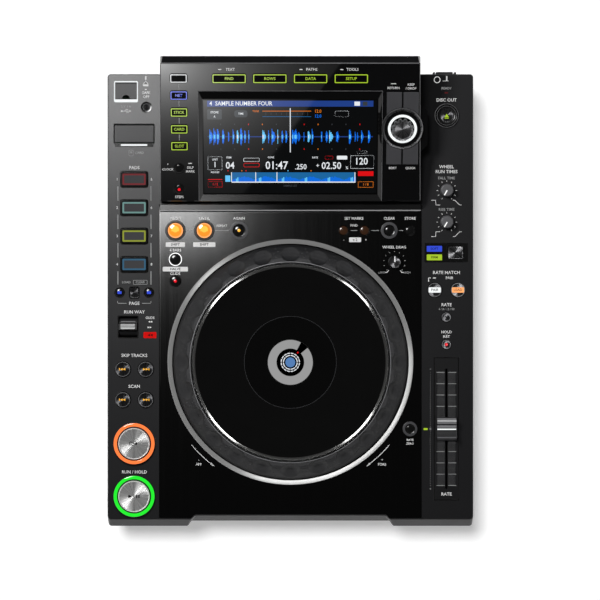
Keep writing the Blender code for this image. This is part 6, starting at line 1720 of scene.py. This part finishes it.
@dataclass
class MediaDoors(SubAssembly):
    """The lids over the stick and card sockets, with their lit frames."""

    def build(self) -> None:
        """Builds both lids and what frames them."""
        for node, width, depth in (("usb_door", 18.5, 14.3), ("card_door", 33.9, 15.3)):
            self._lid(node, width, depth)
        usb = node_centre("usb_door")
        frame_form = Form(DECK)
        outer = rounded(20.9, 18.5, 1.2, (usb[0], usb[1] - 0.75))
        inner = rounded(19.1, 14.9, 0.3, usb)
        frame_form.surround(outer, inner, -0.05, 0.45, 0.2)
        self.add(frame_form, "stick_light_frame", [LIT_WHITE])
        card = node_centre("card_door")
        dark = Form(DECK)
        dark.surround(rounded(36.2, 17.9, 1.2, (card[0], card[1] - 0.2)), rounded(35.1, 16.5, 0.3, card),
                      -0.05, 0.3, 0.1)
        dark.plate(rounded(33.5, 3.0, 0.8, (card[0], card[1] - 10.3)), -0.05, 0.1, 0.05)
        self.add(dark, "card_frame", [BLACK_RING], slot="gloss_black")
        light = Form(DECK).plate(rounded(23.2, 1.5, 0.5, (card[0], card[1] - 10.1)), -0.02, 0.3, 0.08)
        self.add(light, "card_light_bar", [LIT_WHITE])

    def _lid(self, node: str, width: float, depth: float) -> None:
        """One lid round its rear hinge line, with a half-moon finger notch."""
        x, y = node_centre(node)
        hinge = y + depth / 2 - 1.0
        arc = [polar((hinge, -1.0), 1.0, math.pi / 2 - math.pi * step / 12) for step in range(13)]
        front = y - depth / 2
        side = Matrix(((0, 0, 1, 0), (1, 0, 0, 0), (0, 1, 0, DECK_TOP), (0, 0, 0, 1)))
        lid = Form(side)
        notch = 3.4 if node == "usb_door" else 0.4
        stations = [(-width / 2, front), (-notch, front)]
        stations += [polar((0.0, front), notch, math.pi - math.pi * step / 16) for step in range(1, 16)]
        stations += [(notch, front), (width / 2, front)]
        rows = []
        for across, start in stations:
            row = [(py, pz, x + across) for py, pz in arc]
            row += [(start, -2.0, x + across), (start, -0.25, x + across), (start + 0.25, 0.0, x + across)]
            rows.append(row)
        lid.rows(rows)
        self.add(lid, f"{node}_lid", [DOOR_PLASTIC], body=node, stands_for=[node])


@dataclass
class DeckTrim(SubAssembly):
    """A painted highlight line where the deck plate bends up, dark and bright lines along the plate's edges, and its
    upstand's face.
    """

    slot: str = "brushed_deck"

    def build(self) -> None:
        """Builds the painted highlight line, the thin lines and the upstand's face."""
        # A light grey strip painted as the highlight where the deck plate bends up to its upstand.
        lines = Form(DECK).plate(rounded(228.0, 1.0, 0.1, (0.0, 72.1)), -0.02, 0.12)
        self.add(lines, "deck_bright_line", [BEND_HIGHLIGHT_GREY])
        groove = Form(DECK).plate(rounded(228.0, 0.9, 0.1, (0.0, 71.0)), -0.02, 0.03)
        self.add(groove, "deck_dark_line", [WINDOW_BLACK])
        rim = Form(DECK).plate(rounded(228.0, 0.4, 0.1, (0.0, 70.1)), -0.02, 0.03)
        rim.plate(rounded(0.7, 150.0, 0.1, (-113.9, -5.5)), -0.02, 0.03)
        self.add(rim, "deck_edge_lines", [DECK_EDGE])
        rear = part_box("deck_plate")[1].y / MM
        near, far = (rear - 4.45, DECK_TOP + 0.32), (rear - 0.35, DECK_TOP + 5.55)
        upstand = Form(Matrix.Identity(4))
        upstand.rows([[(x, near[0] - 0.1, near[1] + 0.08), (x, far[0] - 0.1, far[1] + 0.08),
                       (x, far[0] + 0.1, far[1] - 0.1), (x, near[0] + 0.1, near[1] - 0.1)] for x in (-113.9, 113.9)])
        self.add(upstand, "deck_upstand_face", [UPSTAND_SATIN])


@dataclass
class RearSockets(SubAssembly):
    """The metal sleeves and coloured faces of the three sound sockets."""

    slot: str = "satin_metal"
    across: tuple[float, ...] = (-105.6, -89.6, -67.2)
    height: float = 30.0

    def build(self) -> None:
        """Builds a sleeve and a face for each socket, on the end of its barrel."""
        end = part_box("main_board")[1].y / MM
        rear = Matrix(((-1, 0, 0, 0), (0, 0, 1, end), (0, 1, 0, 0), (0, 0, 0, 1)))
        form = Form(rear)
        for number, x in enumerate(self.across, 1):
            place = (-x, self.height)
            form.turn([(4.2, -6.2), (4.38, -6.2), (4.38, -0.1), (4.25, 0.12), (3.5, 0.12), (3.45, -0.1), (4.15, -0.1)],
                      place, 48)
            form.turn([(3.4, -0.1), (3.35, 0.05), (1.8, 0.05), (1.75, -0.1)], place, 48, number)
        self.add(form, "sound_socket_ends", [SILVER, *PHONO_COLOURS])


@dataclass
class Standby(SubAssembly):
    """The small lamp over the disc button."""

    def build(self) -> None:
        """Builds the lamp."""
        lens = Form(DECK).plate(rounded(3.0, 1.3, 0.3, (136.4, 175.0)), -0.02, 0.15, 0.05)
        self.add(lens, "ready_lamp", [lamp("ready_red", 92, 30, 32, 0.6)])


@dataclass(frozen=True)
class Softbox:
    """A small rectangular light that falls on certain finishes alone; in metres, watts and degrees."""

    name: str
    finishes: tuple[Finish, ...]
    power: float
    place: Colour
    size: Spot
    aim: Colour = (0.0, 0.0, 0.07)
    side: int = 0
    spread: float = 180.0


@dataclass
class Studio:
    """The floor, the lights, the world and the camera, in metres, watts and degrees."""

    floor_reach: float = 6.0
    floor_grey: Colour = (0.80, 0.80, 0.80)
    floor_lift: float = 0.40
    world_fill: float = 0.42
    world_overhead: float = 0.04
    world_rise: float = 0.55
    mirror_turn: float = -123.2
    mirror_middle: Spot = (-0.107, -0.462)
    mirror_height: float = 1.2
    mirror_size: Spot = (0.36, 0.21)
    mirror_power: float = 2.6
    mirror_corner: Spot = (-0.18, -0.394)
    mirror_decades: Spot = (7.0, 9.5)
    mirror_end: float = -0.385
    sun_strength: float = 2.5
    sun_spread: float = 0.25
    sun_way: Colour = (0.17, -0.25, -1.0)
    camera_place: Colour = (0.0084, -0.0063, 2.272)
    camera_sensor: float = 36.0
    camera_reach: float = 2.2
    camera_field: float = 0.525

    def build(self) -> None:
        """Sets up everything round the object."""
        self._floor()
        self._world()
        self._lights()
        self._camera()
        bpy.context.scene.view_settings.view_transform = "Standard"

    def _floor(self) -> None:
        """A white floor that keeps the object's shadow."""
        mesh = bpy.data.meshes.new("floor")
        reach = self.floor_reach
        mesh.from_pydata([(x, y, 0) for x, y in oblong(-reach, reach, -reach, reach)], [], [(0, 1, 2, 3)])
        floor = bpy.data.objects.new("floor", mesh)
        bpy.context.scene.collection.objects.link(floor)
        paint = bpy.data.materials.new("floor_white")
        paint.use_nodes = True
        tree = paint.node_tree
        strength = wired(tree, "ShaderNodeMath", {0: self._seen(tree), 1: self.floor_lift}, "MULTIPLY")
        feed(tree, tree.nodes["Principled BSDF"], {
            "Base Color": (*self.floor_grey, 1.0), "Roughness": 0.9, "Specular IOR Level": 0.0,
            "Emission Color": (1.0, 1.0, 1.0, 1.0), "Emission Strength": strength.outputs["Value"]})
        mesh.materials.append(paint)

    @staticmethod
    def _seen(tree: bpy.types.NodeTree) -> bpy.types.NodeSocket:
        """One where a camera, glossy or transmission ray looks, else nought.

        Args:
            tree: The tree that the nodes stand in.

        Returns:
            The mask's socket.
        """
        path = tree.nodes.new("ShaderNodeLightPath")
        total = path.outputs["Is Camera Ray"]
        for ray in ("Is Glossy Ray", "Is Transmission Ray"):
            total = wired(tree, "ShaderNodeMath", {0: total, 1: path.outputs[ray]}, "MAXIMUM").outputs["Value"]
        return total

    def _world(self) -> None:
        """A dim world that is white at its rim where it is seen, and dark overhead."""
        world = bpy.data.worlds.new("booth_light")
        bpy.context.scene.world = world
        world.use_nodes = True
        tree = world.node_tree
        background = tree.nodes["Background"]
        direction = tree.nodes.new("ShaderNodeTexCoord")
        axes = wired(tree, "ShaderNodeSeparateXYZ", {"Vector": direction.outputs["Generated"]})
        filled, white = (
            wired(tree, "ShaderNodeMapRange", {
                "Value": axes.outputs["Z"], "From Min": start, "From Max": self.world_rise, "To Min": rim,
                "To Max": self.world_overhead}).outputs["Result"]
            for rim, start in ((self.world_fill, 0.1), (1.0, 0.05)))
        mix = tree.nodes.new("ShaderNodeMix")
        mix.data_type = "FLOAT"
        feed(tree, mix, {"Factor": self._seen(tree), "A": filled, "B": white})
        feed(tree, background, {"Strength": mix.outputs["Result"], "Color": (1.0, 1.0, 1.0, 1.0)})

    @staticmethod
    def _area(name: str, place: Colour, facing: Matrix, size: Spot, power: float) -> bpy.types.Object:
        """One rectangular softbox.

        Args:
            name: Its name.
            place: Where it stands, in metres.
            facing: The turn that faces it.
            size: Its width and height in metres.
            power: Its power in watts.

        Returns:
            The light's object.
        """
        light = bpy.data.lights.new(name, "AREA")
        light.shape = "RECTANGLE"
        light.size, light.size_y = size
        light.energy = power
        holder = bpy.data.objects.new(name, light)
        bpy.context.scene.collection.objects.link(holder)
        holder.matrix_world = Matrix.Translation(place) @ facing
        return holder

    @staticmethod
    def _boxes() -> list[Softbox]:
        """Every softbox over the object, in the order in which they are hung."""
        caps = (TURNED_METAL, DARK_TURNED, NIGHT_TURNED)
        smooth = (GLOSS_KEY, AMBER_UNLIT, KNOB_GREY_AND_SHEEN, KEY_PLASTIC, BLACK_RING, CORNER_KEY, LIT_AMBER)
        boxes = [
            Softbox("shell_box", (COLUMN_PLASTIC, DOOR_PLASTIC), 5.2, (-0.21, 0.28, 0.57), (0.2, 0.2),
                    (-0.21, 0.28, 0.0)),
            Softbox("deck_box", (DECK_METAL, DECK_EDGE), 1.7, (-0.15, 0.135, 0.55), (0.14, 0.14), (-0.15, 0.135, 0.0)),
            Softbox("cap_box_left", caps, 1.9, (-0.02, -0.45, 1.02), (0.2, 0.2), side=-1),
            Softbox("cap_box_right", caps, 1.9, (0.37, -0.16, 1.02), (0.2, 0.2), side=1),
            Softbox("knob_box", (FACE_TURNED,), 1.9, (0.23, -0.79, 1.02), (0.2, 0.2)),
            Softbox("gloss_box", smooth, 9.0, (-0.38, 0.38, 1.02), (0.30, 0.30)),
            Softbox("grip_box", (RUBBER,), 0.5, (0.0, -0.06, 1.25), (0.5, 0.5), (0.0, -0.06, 0.0)),
            Softbox("grip_lamp", (RUBBER,), 0.4, (-0.006, -0.052, 0.175), (0.02, 0.02), (-0.006, -0.052, 0.0)),
        ]
        for name, x, y, width, power in (("front", 0.05, -1.04, 0.8, 1.9), ("corner", 0.64, -0.72, 0.7, 1.5),
                                         ("right", 0.92, -0.24, 0.5, 0.7), ("left", -0.66, 0.60, 0.3, 0.5)):
            boxes.append(Softbox(f"ring_box_{name}", (KNURLED,), power, (x, y, 1.18), (width, 0.2)))
        for name, x, y, power in (("left_front", -0.64, -0.70, 2.0), ("right_front", 0.64, -0.70, 2.0),
                                  ("left_rear", -0.64, 0.58, 2.0), ("right_rear", 0.64, 0.58, 1.1)):
            boxes.append(Softbox(f"bevel_box_{name}", (SILVER,), power, (x, y, 0.85), (0.34, 0.34)))
        boxes += [
            Softbox("front_box", (BEVEL_METAL,), 9.0, (-0.30, -1.0, 0.26), (0.42, 0.25), (-0.08, 0.08, 0.09)),
            Softbox("upstand_lamp", (UPSTAND_SATIN,), 0.8, (-0.16, -0.02, 0.40), (0.03, 0.03),
                    (-0.125, 0.075, 0.075), spread=35.0),
        ]
        return boxes

    @staticmethod
    def _only(light: bpy.types.Object, *finishes: Finish, side: int = 0) -> bpy.types.Object:
        """Lets a light fall only on the pieces that have certain finishes.

        Args:
            light: The light's object.
            finishes: The finishes.
            side: -1 for pieces at the left alone, 1 for those at the right, or 0 for all.

        Returns:
            The light's object.
        """
        wanted = {finish.name for finish in finishes}
        group = bpy.data.collections.new(f"{light.name}_lit")
        for piece in bpy.data.objects:
            if piece.type != "MESH" or side * sum(corner[0] for corner in piece.bound_box) < 0:
                continue
            if wanted & {slot.material.name for slot in piece.material_slots if slot.material}:
                group.objects.link(piece)
        light.light_linking.receiver_collection = group
        return light

    def _lights(self) -> None:
        """A soft sun that stays out of reflections, and small softboxes that each serve a few finishes."""
        sun = bpy.data.lights.new("key_sun", "SUN")
        sun.energy, sun.angle = self.sun_strength, self.sun_spread
        key = bpy.data.objects.new("key_sun", sun)
        bpy.context.scene.collection.objects.link(key)
        key.matrix_world = Vector(self.sun_way).to_track_quat("-Z", "Y").to_matrix().to_4x4()
        key.visible_glossy = False
        for box in self._boxes():
            facing = (Vector(box.aim) - Vector(box.place)).to_track_quat("-Z", "Y").to_matrix().to_4x4()
            light = self._area(box.name, box.place, facing, box.size, box.power)
            light.data.spread = math.radians(box.spread)
            self._only(light, *box.finishes, side=box.side)
        self._screen_box()

    def _screen_box(self) -> None:
        """The slanted softbox that the tilted face mirrors, brightest in one corner."""
        facing = Matrix.Rotation(math.radians(self.mirror_turn), 4, "Z")
        box = self._area("screen_box", (*self.mirror_middle, self.mirror_height), facing, self.mirror_size,
                         self.mirror_power)
        self._only(box, HOUSING_GLOSS, FRAME_GLOSS, WINDOW_BLACK, KEY_LENS, SCREEN_DARK)
        light = box.data
        light.use_nodes = True
        tree = light.node_tree
        emission = tree.nodes["Emission"]
        spot = tree.nodes.new("ShaderNodeNewGeometry")
        axes = wired(tree, "ShaderNodeSeparateXYZ", {"Vector": spot.outputs["Position"]})
        away = wired(tree, "ShaderNodeVectorMath", {
            0: spot.outputs["Position"], 1: (*self.mirror_corner, self.mirror_height)}, "SUBTRACT")
        scaled = wired(tree, "ShaderNodeVectorMath", {
            0: away.outputs["Vector"], 1: (*self.mirror_decades, 0.0)}, "MULTIPLY")
        reach = wired(tree, "ShaderNodeVectorMath", {0: scaled.outputs["Vector"]}, "LENGTH")
        fade = wired(tree, "ShaderNodeMath", {0: 0.1, 1: reach.outputs["Value"]}, "POWER")
        end = wired(tree, "ShaderNodeMath", {0: axes.outputs["Y"], 1: self.mirror_end}, "LESS_THAN")
        cut = wired(tree, "ShaderNodeMath", {0: fade.outputs["Value"], 1: end.outputs["Value"]}, "MULTIPLY")
        tree.links.new(cut.outputs["Value"], emission.inputs["Strength"])

    def _camera(self) -> None:
        """A camera straight above, as the photograph has it."""
        lens = bpy.data.cameras.new("above")
        lens.sensor_width = self.camera_sensor
        lens.lens = self.camera_sensor * self.camera_reach / self.camera_field
        holder = bpy.data.objects.new("above", lens)
        holder.location = self.camera_place
        lens.clip_start, lens.clip_end = 0.1, 20.0
        bpy.context.scene.collection.objects.link(holder)
        bpy.context.scene.camera = holder


def main() -> None:
    """Builds the player's sub-assemblies in order, and the studio round them."""
    logging.basicConfig(level=logging.INFO, format="%(message)s")
    for group in (Cabinet(), RoundButtons(), StartButtons(), Pads(), Knobs(), Lever(), TempoFader(), JogWheel(),
                  DisplayHousing(), MediaDoors(), DeckTrim(), RearSockets(), Standby()):
        LOG.info("building %s", type(group).__name__)
        group.build()
    Studio().build()


if __name__ == "__main__":
    main()
